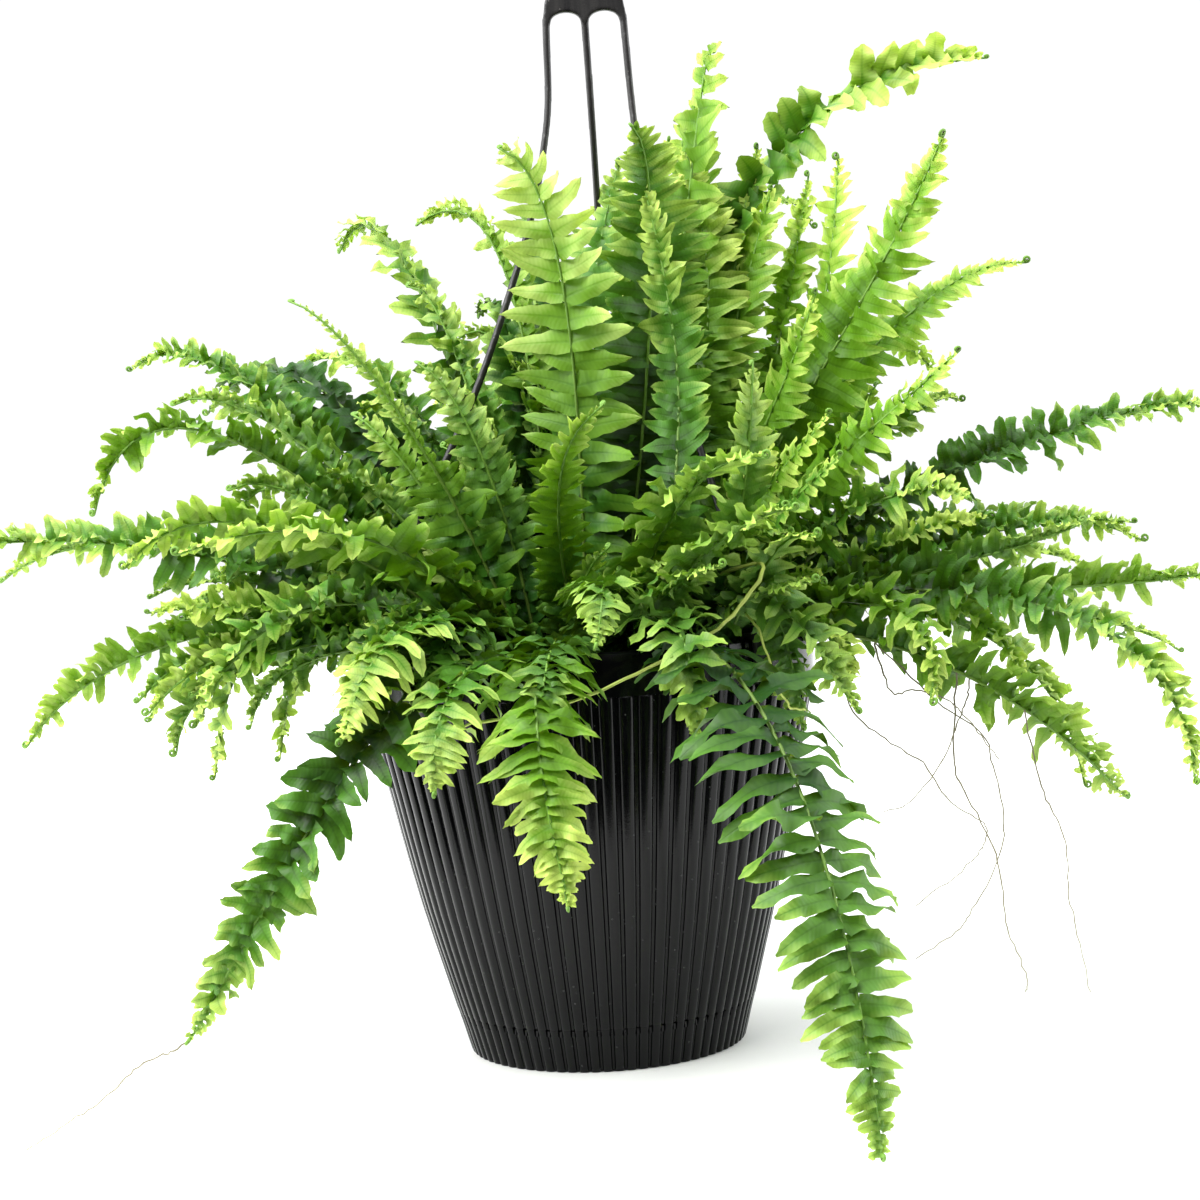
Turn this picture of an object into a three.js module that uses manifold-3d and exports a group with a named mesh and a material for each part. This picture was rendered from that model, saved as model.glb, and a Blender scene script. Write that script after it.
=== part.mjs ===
// Potted Boston fern: a ribbed hanging pot with a clip-on saucer, a three-legged hanger, soil,
// two runners and the fronds. Millimetres, +Z up, the pot stands on z = 0, the front faces -Y.
import * as THREE from 'three';
import { mergeVertices } from 'three/addons/utils/BufferGeometryUtils.js';
import Module from 'manifold-3d';

const wasm = await Module();
wasm.setup();

// ---- driving dimensions -------------------------------------------------------------------
const GAP = 0.3; // between pieces that touch
const RIBS = 75; // upright ribs round the pot
const RIB_DEPTH = 1.5;
const RIB_FLAT = 0.56; // share of the rib pitch that is the flat top

const SAUCER_HEIGHT = 24;
const SAUCER_BASE_RADIUS = 77;
const SAUCER_TOP_RADIUS = 83.5;
const SAUCER_WALL = 2;
const SAUCER_FLOOR = 2.4;
const SAUCER_NOTCH = 2.6; // depth of the drain notches along the seam

const POT_HEIGHT = 224; // top of the rim above the table
const POT_BASE_Z = SAUCER_HEIGHT + GAP;
const POT_BASE_RADIUS = 84;
const POT_BELLY_Z = 104;
const POT_BELLY_RADIUS = 105;
const BAND_Z = 201; // lower edge of the smooth rim band
const POT_RIM_RADIUS = 126;
const POT_WALL = 1.8; // behind the grooves
const POT_FLOOR = 3;
const DRAIN_RADIUS = 4;
const DRAIN_CIRCLE = 52;
const DRAIN_HOLES = 6;

const SOIL_Z = 204;
const SOIL_BUMP = 2;
const SOIL_SIDES = 24;
const STEM_DEPTH = 12; // how far a stem stands in the soil
const HOLE_DEPTH = 13;
const HOLE_WIDTH = 3.8;

const LUG_AZIMUTHS = [-165, -45, 75]; // where the hanger's legs clip to the rim, degrees
const LUG_WIDTH = 12;
const CLIP_THICK = 2.4;
const CLIP_TOP = 3.4; // bridge over the rim, which the leg runs into
const CLIP_DROP = 17;
const LEG_WIDTH = 4.4;
const LEG_THICK = 3.4;
const LEG_STRAIGHT = 60; // upper stretch that hangs nearly straight from the plate
const LEG_BOW = 12; // how far a leg bows in towards the plant
const LEG_STEPS = 10;
const PLATE_WIDTH = 47;
const PLATE_Z = 566; // where the legs leave the plate
const PLATE_HEIGHT = 26;
const PLATE_THICK = 4;
const PLATE_X = 19; // the hanger leans to the right of the pot's axis
const ARCH_DEPTH = 6;
const NECK_WIDTH = 13;
const HOOK_RADIUS = 17; // centre line of the hook
const HOOK_THICK = 5;

const STEM_HALF = 1.15; // half width of a stem at the soil
const STEM_TIP_HALF = 0.7;
const LEAF_THICK = 0.9;
const LEAFLETS_MAX = 9; // on each side of a frond
const LEAFLETS_MIN = 6;
const LEAFLET_PITCH = 29;
const CLEAR = 0.7; // clearance that leaflets and stems keep to other pieces

// name, point passed at BEND of the way, tip, longest leaflet, turn of the blade in degrees
const BEND = 0.6;
const FRONDS = [
  ['crown_01', [72, 12, 470], [90, 26, 552], 24, 20],
  ['crown_02', [100, 30, 455], [250, 50, 545], 26, 60],
  ['crown_03', [135, -50, 365], [200, -80, 480], 34, 70],
  ['crown_04', [165, 30, 372], [265, 40, 425], 24, 40],
  ['crown_05', [135, -90, 315], [195, -120, 365], 26, 50],
  ['crown_06', [0, -70, 400], [-30, -85, 485], 39, 0],
  ['crown_07', [45, -40, 405], [40, -70, 495], 36, 0],
  ['crown_08', [90, 20, 380], [100, 35, 460], 30, -30],
  ['crown_09', [100, 70, 430], [150, 100, 460], 22, 30],
  ['crown_10', [-30, 40, 420], [-85, 65, 470], 22, 50],
  ['crown_11', [-60, 20, 375], [-90, 30, 430], 26, 30],
  ['crown_12', [-90, -60, 350], [-145, -65, 415], 24, 60],
  ['crown_13', [-100, 100, 365], [-170, 140, 395], 26, 0],
  ['crown_14', [-10, -120, 300], [15, -160, 345], 19, 0],
  ['right_01', [250, 50, 318], [390, 65, 338], 24, 35],
  ['right_02', [230, 80, 275], [340, 100, 260], 22, 30],
  ['right_03', [225, -40, 240], [345, -50, 245], 25, -30],
  ['right_04', [265, 90, 225], [365, 120, 190], 19, 20],
  ['right_05', [230, -95, 235], [295, -150, 145], 23, 30],
  ['right_06', [170, -85, 205], [285, -50, 125], 26, -40],
  ['right_07', [200, -20, 225], [270, -20, 130], 24, 20],
  ['right_08', [170, 55, 325], [230, 80, 350], 23, 30],
  ['right_09', [145, -85, 240], [170, -130, 190], 26, 0],
  ['right_10', [135, -90, 285], [195, -130, 290], 27, 40],
  ['left_01', [-210, -40, 285], [-330, -50, 295], 26, -35],
  ['left_02', [-230, 55, 290], [-345, 80, 275], 22, 30],
  ['left_03', [-210, -10, 240], [-310, -20, 185], 24, 35],
  ['left_04', [-180, 45, 230], [-250, 60, 190], 23, -30],
  ['left_05', [-165, -55, 230], [-220, -65, 180], 24, 30],
  ['left_06', [-185, -20, 345], [-265, -20, 310], 27, 30],
  ['left_07', [-175, 55, 370], [-260, 80, 395], 23, -35],
  ['left_08', [-150, 20, 340], [-225, 20, 370], 25, 40],
  ['left_09', [-155, -70, 295], [-235, -90, 280], 30, 25],
  ['left_10', [-130, -95, 255], [-195, -135, 200], 28, 0],
  ['front_01', [-100, -120, 285], [-195, -160, 285], 28, 15],
  ['front_02', [-80, -130, 245], [-120, -165, 190], 29, 0],
  ['front_03', [-118, -125, 198], [-220, -120, 45], 26, -50],
  ['front_04', [-25, -165, 215], [-15, -200, 110], 31, 0],
  ['front_05', [-60, -155, 220], [-75, -180, 165], 28, 0],
  ['front_06', [10, -135, 260], [5, -175, 230], 26, 0],
  ['front_07', [82, -205, 192], [115, -280, 8], 39, 0],
  ['front_08', [40, -150, 240], [50, -180, 185], 24, 0],
  ['front_09', [50, -135, 295], [90, -180, 315], 27, 0],
  ['front_10', [65, -160, 275], [100, -205, 290], 26, 0],
];

// fronds of the far side, in three tiers: reach, height at the bend, height at the tip, turn
const BACK_COUNT = 10;
const BACK_ARC = [30, 150];
const BACK_TIERS = [
  [260, 370, 370, -15],
  [310, 270, 200, 0],
  [190, 430, 465, 15],
];
const BACK_LEAFLET = 32;

const rad = THREE.MathUtils.degToRad;
const vec = (x, y, z) => new THREE.Vector3(x, y, z);

// ---- materials ----------------------------------------------------------------------------
const plastic = new THREE.MeshStandardMaterial({ color: '#1d1e20', roughness: 0.42, metalness: 0 });
const earth = new THREE.MeshStandardMaterial({ color: '#2b1e16', roughness: 0.95, metalness: 0 });
const stolon = new THREE.MeshStandardMaterial({ color: '#9aa84f', roughness: 0.6, metalness: 0 });
const leaf = new THREE.MeshStandardMaterial({ color: '#5f9f2c', roughness: 0.5, metalness: 0 });

// ---- solids from rings of points ------------------------------------------------------------
// A builder collects triangles; a face between two rings of any point counts is stitched by angle.
function meshBuilder() {
  const positions = [];
  const index = [];
  const add = (point) => positions.push(point.x, point.y, point.z) / 3 - 1;
  const face = (a, b, c) => index.push(a, b, c);
  const geometry = () => {
    const out = new THREE.BufferGeometry();
    out.setAttribute('position', new THREE.Float32BufferAttribute(positions, 3));
    out.setIndex(index);
    return out;
  };
  return { add, face, geometry };
}

// lower ring first: the outside of the wall is on its right-hand side, seen anticlockwise
function stitch(builder, lower, upper) {
  let i = 0;
  let j = 0;
  while (i < lower.length || j < upper.length) {
    const a = lower[i % lower.length];
    const b = upper[j % upper.length];
    if (j >= upper.length || (i < lower.length && (i + 1) / lower.length <= (j + 1) / upper.length)) {
      i += 1;
      builder.face(a, lower[i % lower.length], b);
    } else {
      j += 1;
      builder.face(a, upper[j % upper.length], b);
    }
  }
}

function fan(builder, ring, centre, upward) {
  ring.forEach((a, k) => {
    const b = ring[(k + 1) % ring.length];
    if (upward) builder.face(centre, a, b);
    else builder.face(centre, b, a);
  });
}

function circleRing(builder, radius, z, sides = RIBS) {
  return Array.from({ length: sides }, (_, k) => {
    const angle = (2 * Math.PI * k) / sides;
    return builder.add(vec(radius * Math.cos(angle), radius * Math.sin(angle), z));
  });
}

// three points to a rib: both ends of its flat top, and the bottom of the groove after it
function ribRing(builder, radius, flatZ, grooveZ = flatZ, depth = RIB_DEPTH) {
  const ring = [];
  for (let k = 0; k < RIBS; k += 1) {
    [0, RIB_FLAT, (1 + RIB_FLAT) / 2].forEach((share, corner) => {
      const angle = (2 * Math.PI * (k + share - RIB_FLAT / 2)) / RIBS;
      const r = corner === 2 ? radius - depth : radius;
      const z = corner === 2 ? grooveZ : flatZ;
      ring.push(builder.add(vec(r * Math.cos(angle), r * Math.sin(angle), z)));
    });
  }
  return ring;
}

function saucerGeometry() {
  const b = meshBuilder();
  const notchZ = SAUCER_HEIGHT - SAUCER_NOTCH;
  const foot = ribRing(b, SAUCER_BASE_RADIUS, 0);
  const lip = ribRing(b, SAUCER_TOP_RADIUS, SAUCER_HEIGHT, notchZ);
  const inside = circleRing(b, SAUCER_TOP_RADIUS - RIB_DEPTH - SAUCER_WALL, notchZ);
  const floor = circleRing(b, SAUCER_BASE_RADIUS - 2 * RIB_DEPTH - SAUCER_WALL, SAUCER_FLOOR);
  // the fan's hub is off centre, so that the mount at the origin lies inside one flat triangle
  fan(b, foot, b.add(vec(3, 2, 0)), false);
  stitch(b, foot, lip);
  stitch(b, lip, inside);
  stitch(b, inside, floor);
  fan(b, floor, b.add(vec(0, 0, SAUCER_FLOOR)), true);
  return b.geometry();
}

// the inside tapers straight down to the floor
const potInside = (z) => {
  const floor = POT_BASE_RADIUS - RIB_DEPTH - POT_WALL;
  const rim = POT_RIM_RADIUS - 2 * RIB_DEPTH - POT_WALL;
  return Math.min(rim, THREE.MathUtils.mapLinear(z, POT_BASE_Z, BAND_Z, floor, rim));
};

function potGeometry() {
  const b = meshBuilder();
  const floorZ = POT_BASE_Z + POT_FLOOR;
  const rimInside = potInside(POT_HEIGHT);
  const rings = [
    ribRing(b, POT_BASE_RADIUS, POT_BASE_Z),
    ribRing(b, POT_BELLY_RADIUS, POT_BELLY_Z),
    ribRing(b, POT_RIM_RADIUS - RIB_DEPTH / 2, BAND_Z - 2),
    circleRing(b, POT_RIM_RADIUS, BAND_Z),
    circleRing(b, POT_RIM_RADIUS, POT_HEIGHT),
    circleRing(b, rimInside, POT_HEIGHT),
    circleRing(b, rimInside, BAND_Z),
    circleRing(b, potInside(floorZ), floorZ),
  ];
  fan(b, rings[0], b.add(vec(0, 0, POT_BASE_Z)), false);
  for (let k = 0; k + 1 < rings.length; k += 1) stitch(b, rings[k], rings[k + 1]);
  fan(b, rings[rings.length - 1], b.add(vec(0, 0, floorZ)), true);
  return b.geometry();
}

// ---- joining and cutting with manifold ------------------------------------------------------
function toManifold(geometry) {
  const bare = geometry.clone();
  bare.deleteAttribute('normal');
  bare.deleteAttribute('uv');
  const merged = mergeVertices(bare, 1e-4);
  const vertProperties = new Float32Array(merged.attributes.position.array);
  const triVerts = new Uint32Array(merged.index.array);
  return new wasm.Manifold(new wasm.Mesh({ numProp: 3, vertProperties, triVerts }));
}

function fromManifold(solid) {
  const mesh = solid.getMesh();
  const out = new THREE.BufferGeometry();
  out.setAttribute('position', new THREE.Float32BufferAttribute(mesh.vertProperties, 3));
  out.setIndex(Array.from(mesh.triVerts));
  return out;
}

const union = (geometries) => (
  fromManifold(geometries.map(toManifold).reduce((all, one) => all.add(one))));
const cut = (geometry, tools) => (
  fromManifold(tools.map(toManifold).reduce((all, one) => all.subtract(one), toManifold(geometry))));

function drainHoles() {
  return Array.from({ length: DRAIN_HOLES }, (_, k) => {
    const angle = (2 * Math.PI * k) / DRAIN_HOLES;
    const hole = new THREE.CylinderGeometry(DRAIN_RADIUS, DRAIN_RADIUS, 4 * POT_FLOOR, 8);
    hole.rotateX(Math.PI / 2);
    hole.translate(DRAIN_CIRCLE * Math.cos(angle), DRAIN_CIRCLE * Math.sin(angle), POT_BASE_Z);
    return hole;
  });
}

// ---- soil: a plug with a gently heaped top, and a plain hole for each stem -----------------
function soilGeometry(stems) {
  const b = meshBuilder();
  const bottomZ = POT_BASE_Z + POT_FLOOR + GAP;
  const edge = (z) => (potInside(z) - GAP) * Math.cos(Math.PI / RIBS);
  const ring = (radius, height) => Array.from({ length: SOIL_SIDES }, (_, k) => {
    const angle = (2 * Math.PI * k) / SOIL_SIDES;
    const z = height + (height === SOIL_Z ? SOIL_BUMP * Math.sin(5 * angle) * Math.cos(radius) : 0);
    return b.add(vec(radius * Math.cos(angle), radius * Math.sin(angle), z));
  });
  const rings = [
    ring(edge(bottomZ), bottomZ),
    ring(edge(SOIL_Z), SOIL_Z - SOIL_BUMP),
    ring(edge(SOIL_Z) * 0.66, SOIL_Z),
    ring(edge(SOIL_Z) * 0.33, SOIL_Z),
  ];
  fan(b, rings[0], b.add(vec(0, 0, bottomZ)), false);
  for (let k = 0; k + 1 < rings.length; k += 1) stitch(b, rings[k], rings[k + 1]);
  fan(b, rings[rings.length - 1], b.add(vec(0, 0, SOIL_Z)), true);
  const holes = stems.map((stem) => {
    const hole = new THREE.BoxGeometry(HOLE_WIDTH, HOLE_WIDTH, 2 * HOLE_DEPTH);
    hole.rotateZ(stem.angle);
    hole.translate(stem.x, stem.y, SOIL_Z);
    return hole;
  });
  return cut(b.geometry(), holes);
}

// ---- hanger ---------------------------------------------------------------------------------
function barAlong(curve, width, thick, steps) {
  const section = new THREE.Shape();
  section.moveTo(-thick / 2, -width / 2);
  section.lineTo(thick / 2, -width / 2);
  section.lineTo(thick / 2, width / 2);
  section.lineTo(-thick / 2, width / 2);
  section.closePath();
  return new THREE.ExtrudeGeometry(section, { steps, extrudePath: curve, bevelEnabled: false });
}

function clipGeometry(azimuth) {
  const box = (from, to, bottom, top) => {
    const piece = new THREE.BoxGeometry(to - from, LUG_WIDTH, top - bottom);
    piece.translate((from + to) / 2, 0, (bottom + top) / 2);
    return piece;
  };
  const inner = potInside(POT_HEIGHT) * Math.cos(Math.PI / RIBS) - GAP;
  const outer = POT_RIM_RADIUS + GAP;
  const top = POT_HEIGHT + GAP + CLIP_TOP;
  const clip = union([
    box(outer, outer + CLIP_THICK, POT_HEIGHT - CLIP_DROP, top),
    box(inner - CLIP_THICK, inner, POT_HEIGHT - CLIP_DROP / 2, top),
    box(inner - CLIP_THICK, outer + CLIP_THICK, POT_HEIGHT + GAP, top),
  ]);
  clip.rotateZ(rad(azimuth));
  return clip;
}

function hangerGeometry() {
  // the left leg goes to the left lug, the right one to the lug in front, the middle one behind
  const outerLeg = (PLATE_WIDTH - LEG_WIDTH) / 2;
  const legX = [-outerLeg, outerLeg, 0];
  const legs = LUG_AZIMUTHS.map((azimuth, k) => {
    const out = vec(Math.cos(rad(azimuth)), Math.sin(rad(azimuth)), 0);
    const foot = out.clone().multiplyScalar(POT_RIM_RADIUS - 1);
    foot.setZ(POT_HEIGHT + GAP + CLIP_TOP * 0.75);
    const top = vec(PLATE_X + legX[k], 0, PLATE_Z + ARCH_DEPTH / 2);
    const below = vec(top.x + out.x * 4, out.y * 6, PLATE_Z - LEG_STRAIGHT);
    const shoulder = foot.clone().lerp(below, 0.6).addScaledVector(out, -LEG_BOW);
    const low = foot.clone().lerp(shoulder, 0.35);
    const curve = new THREE.CatmullRomCurve3([top, below, shoulder, low, foot]);
    return barAlong(curve, LEG_WIDTH, LEG_THICK, LEG_STEPS);
  });
  const half = PLATE_WIDTH / 2;
  const archHalf = (PLATE_WIDTH - 3 * LEG_WIDTH) / 4;
  const plate = new THREE.Shape();
  plate.moveTo(-half, 0);
  [-1, 1].forEach((side) => {
    const centre = side * (archHalf + LEG_WIDTH / 2);
    plate.lineTo(centre - archHalf, 0);
    plate.quadraticCurveTo(centre - archHalf, ARCH_DEPTH, centre, ARCH_DEPTH);
    plate.quadraticCurveTo(centre + archHalf, ARCH_DEPTH, centre + archHalf, 0);
  });
  plate.lineTo(half, 0);
  plate.lineTo(half - 2, PLATE_HEIGHT * 0.55);
  plate.lineTo(NECK_WIDTH / 2, PLATE_HEIGHT);
  plate.lineTo(-NECK_WIDTH / 2, PLATE_HEIGHT);
  plate.lineTo(-half + 2, PLATE_HEIGHT * 0.55);
  plate.closePath();
  const plateBody = new THREE.ExtrudeGeometry(plate, {
    depth: PLATE_THICK, bevelEnabled: false, curveSegments: 3,
  });
  plateBody.rotateX(Math.PI / 2);
  plateBody.translate(PLATE_X, PLATE_THICK / 2, PLATE_Z);
  // the hook: a stem up from the neck, then a bend that leaves its mouth open on the left
  const neckZ = PLATE_Z + PLATE_HEIGHT - 3;
  const bendZ = neckZ + 2.1 * HOOK_RADIUS;
  const points = [vec(PLATE_X, 0, neckZ), vec(PLATE_X + HOOK_RADIUS * 0.5, 0, neckZ + HOOK_RADIUS * 0.7)];
  for (let turn = -20; turn <= 200; turn += 20) {
    const x = PLATE_X + HOOK_RADIUS * Math.cos(rad(turn));
    points.push(vec(x, 0, bendZ + HOOK_RADIUS * Math.sin(rad(turn))));
  }
  const hook = barAlong(new THREE.CatmullRomCurve3(points), HOOK_THICK, HOOK_THICK, 15);
  return union([plateBody, hook, ...legs, ...LUG_AZIMUTHS.map(clipGeometry)]);
}

// ---- where the fronds stand and how they bend -----------------------------------------------
function backFronds() {
  return Array.from({ length: BACK_COUNT }, (_, k) => {
    const azimuth = rad(THREE.MathUtils.mapLinear(k, 0, BACK_COUNT - 1, BACK_ARC[0], BACK_ARC[1]));
    const [reach, bendZ, tipZ, turn] = BACK_TIERS[k % BACK_TIERS.length];
    const away = vec(Math.cos(azimuth), Math.sin(azimuth), 0);
    const bend = away.clone().multiplyScalar(0.62 * reach).setZ(bendZ);
    const tip = away.clone().multiplyScalar(reach).setZ(tipZ);
    const name = `back_${String(k + 1).padStart(2, '0')}`;
    return { name, bend, tip, leaflet: BACK_LEAFLET, turn };
  });
}

const specs = FRONDS.map(([name, bend, tip, leaflet, turn]) => (
  { name, bend: vec(...bend), tip: vec(...tip), leaflet, turn }));
specs.push(...backFronds());

// each stem starts on the side it leans to; near neighbours push each other apart
const ROOT_SHARE = 0.34;
const ROOT_REACH = 76;
const ROOT_SPACING = 9.5;
function placeRoots() {
  const roots = specs.map(({ bend }) => {
    const share = Math.min(ROOT_SHARE, ROOT_REACH / Math.hypot(bend.x, bend.y));
    return vec(bend.x * share, bend.y * share, SOIL_Z + SOIL_BUMP);
  });
  for (let round = 0; round < 60; round += 1) {
    roots.forEach((a, i) => roots.slice(0, i).forEach((b) => {
      const apart = a.clone().sub(b);
      const push = (ROOT_SPACING - apart.length()) / 2;
      if (push > 0) {
        a.addScaledVector(apart.clone().normalize(), push);
        b.addScaledVector(apart.normalize(), -push);
      }
    }));
  }
  return roots;
}

// a cubic curve that leaves the soil steeply, passes the bend point and ends at the tip
function frondCurve(root, bend, tip) {
  const reach = bend.distanceTo(root);
  const away = vec(bend.x - root.x, bend.y - root.y, 0).normalize();
  const steep = THREE.MathUtils.clamp((bend.z - root.z) / reach, 0, 1);
  const lean = 0.25 + 0.38 * (1 - steep);
  const rise = vec(away.x * lean, away.y * lean, 1).normalize();
  const first = root.clone().addScaledVector(rise, 0.38 * reach);
  const weights = [(1 - BEND) ** 3, 3 * (1 - BEND) ** 2 * BEND, 3 * (1 - BEND) * BEND ** 2, BEND ** 3];
  const second = bend.clone()
    .addScaledVector(root, -weights[0])
    .addScaledVector(first, -weights[1])
    .addScaledVector(tip, -weights[3])
    .divideScalar(weights[2]);
  return new THREE.CubicBezierCurve3(root, first, second, tip);
}

// the frame at a point of the curve: along the stem, across the blade and out of its upper face
function frameAt(curve, spec, t) {
  const along = curve.getTangent(t);
  const heading = vec(curve.v3.x - curve.v0.x, curve.v3.y - curve.v0.y, 0).normalize();
  const across = vec(-heading.y, heading.x, 0);
  across.addScaledVector(along, -across.dot(along)).normalize();
  const turn = rad(spec.turn) * THREE.MathUtils.smoothstep(t, 0.1, 0.5);
  across.applyAxisAngle(along, turn);
  return { at: curve.getPoint(t), along, across, up: along.clone().cross(across) };
}

// ---- keeping pieces clear of each other -----------------------------------------------------
const CELL = 22;
const cells = new Map();
const cellKey = (x, y, z) => `${x},${y},${z}`;

function eachCell(points, visit) {
  const low = points.reduce((m, p) => m.min(p), points[0].clone()).divideScalar(CELL).floor();
  const high = points.reduce((m, p) => m.max(p), points[0].clone()).divideScalar(CELL).floor();
  for (let x = low.x; x <= high.x; x += 1) {
    for (let y = low.y; y <= high.y; y += 1) {
      for (let z = low.z; z <= high.z; z += 1) visit(cellKey(x, y, z));
    }
  }
}

function remember(triangle, owner) {
  const entry = { triangle, owner };
  eachCell(triangle, (key) => {
    if (!cells.has(key)) cells.set(key, []);
    cells.get(key).push(entry);
  });
}

function rememberGeometry(geometry, owner) {
  const position = geometry.attributes.position;
  const corner = (k) => new THREE.Vector3().fromBufferAttribute(position, geometry.index.getX(k));
  for (let k = 0; k < geometry.index.count; k += 3) {
    remember([corner(k), corner(k + 1), corner(k + 2)], owner);
  }
}

const ray = new THREE.Ray();
const hit = new THREE.Vector3();
function crosses(from, to, triangle) {
  ray.origin.copy(from);
  ray.direction.copy(to).sub(from);
  const length = ray.direction.length();
  ray.direction.divideScalar(length);
  return ray.intersectTriangle(...triangle, false, hit) !== null && hit.distanceTo(from) <= length;
}

const meets = (one, other) => one.some((p, k) => crosses(p, one[(k + 1) % 3], other))
  || other.some((p, k) => crosses(p, other[(k + 1) % 3], one));

function isClear(triangles, ignored) {
  return triangles.every((triangle) => {
    let clear = true;
    eachCell(triangle, (key) => {
      (cells.get(key) ?? []).forEach((entry) => {
        if (clear && !ignored(entry.owner) && meets(triangle, entry.triangle)) clear = false;
      });
    });
    return clear;
  });
}

// a closed slab of four corners, for the tests
function slabTriangles(corners, normals, half) {
  const top = corners.map((p, k) => p.clone().addScaledVector(normals[k], half));
  const low = corners.map((p, k) => p.clone().addScaledVector(normals[k], -half));
  const out = [
    [top[0], top[1], top[2]], [top[0], top[2], top[3]],
    [low[0], low[2], low[1]], [low[0], low[3], low[2]],
  ];
  for (let k = 0; k < 4; k += 1) {
    const n = (k + 1) % 4;
    out.push([low[k], low[n], top[n]], [low[k], top[n], top[k]]);
  }
  return out;
}

// ---- fronds -----------------------------------------------------------------------------------
const STEM_STATIONS = 4;
const BARE = 0.24; // share of a frond below its first leaflet
const stemHalf = (t) => THREE.MathUtils.lerp(STEM_HALF, STEM_TIP_HALF, t);

function stemTests(curve, spec) {
  const steps = 16;
  const tests = [];
  for (let k = 0; k < steps; k += 1) {
    const a = frameAt(curve, spec, k / steps);
    const b = frameAt(curve, spec, (k + 1) / steps);
    const w = STEM_HALF + CLEAR;
    const corners = [
      a.at.clone().addScaledVector(a.across, w), a.at.clone().addScaledVector(a.across, -w),
      b.at.clone().addScaledVector(b.across, -w), b.at.clone().addScaledVector(b.across, w),
    ];
    // the first stretch starts just above the soil, which the stem's hole keeps clear
    if (k === 0) corners.slice(0, 2).forEach((p) => { p.z += SOIL_BUMP; });
    tests.push(...slabTriangles(corners, [a.up, a.up, b.up, b.up], w));
  }
  return tests;
}

// small swings and lifts that are tried until a stem runs clear of the others
function clearCurve(spec, root) {
  for (const lift of [0, 7, -7, 14, 22, 32, 44]) {
    for (const swing of [0, 2, -2, 4, -4, 7, -7, 10, -10, 14, -14, 18, -18]) {
      const axis = vec(0, 0, 1);
      const bend = spec.bend.clone().applyAxisAngle(axis, rad(swing));
      const tip = spec.tip.clone().applyAxisAngle(axis, rad(swing * 0.6));
      bend.z += lift;
      const curve = frondCurve(root, bend, tip);
      const tests = stemTests(curve, spec);
      if (isClear(tests, () => false)) {
        tests.forEach((triangle) => remember(triangle, spec.name));
        return curve;
      }
    }
  }
  throw new Error(`${spec.name} finds no clear way`);
}

// leaflets grow quickly to full length, then shorten to the tip
const envelope = (u) => Math.max(
  0.14, (0.55 + 0.45 * THREE.MathUtils.smoothstep(u, 0, 0.25)) * (1 - u ** 2.4) ** 0.9);

const FOLDS = [0, 14, -14, 28, -28, 42, -42, 56, -56];
const LENGTHS = [1, 0.8, 0.62, 0.45];
const DROOP = 0.1;

// root low, shoulder, point, root high
function leafletCorners(low, high, frame, side, fold, length, sweep) {
  const out = frame.across.clone().multiplyScalar(side * Math.cos(fold))
    .addScaledVector(frame.up, Math.sin(fold));
  const pitch = low.distanceTo(high);
  const middle = low.clone().add(high).multiplyScalar(0.5);
  const shoulder = middle.clone()
    .addScaledVector(frame.along, -0.42 * pitch + sweep * 0.45 * length)
    .addScaledVector(out, 0.45 * length);
  const point = middle.clone()
    .addScaledVector(frame.along, sweep * length)
    .addScaledVector(out, length);
  shoulder.z -= DROOP * 0.25 * length;
  point.z -= DROOP * length;
  const normal = frame.along.clone().cross(out).multiplyScalar(side);
  return { corners: [low, shoulder, point, high], normal };
}

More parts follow.
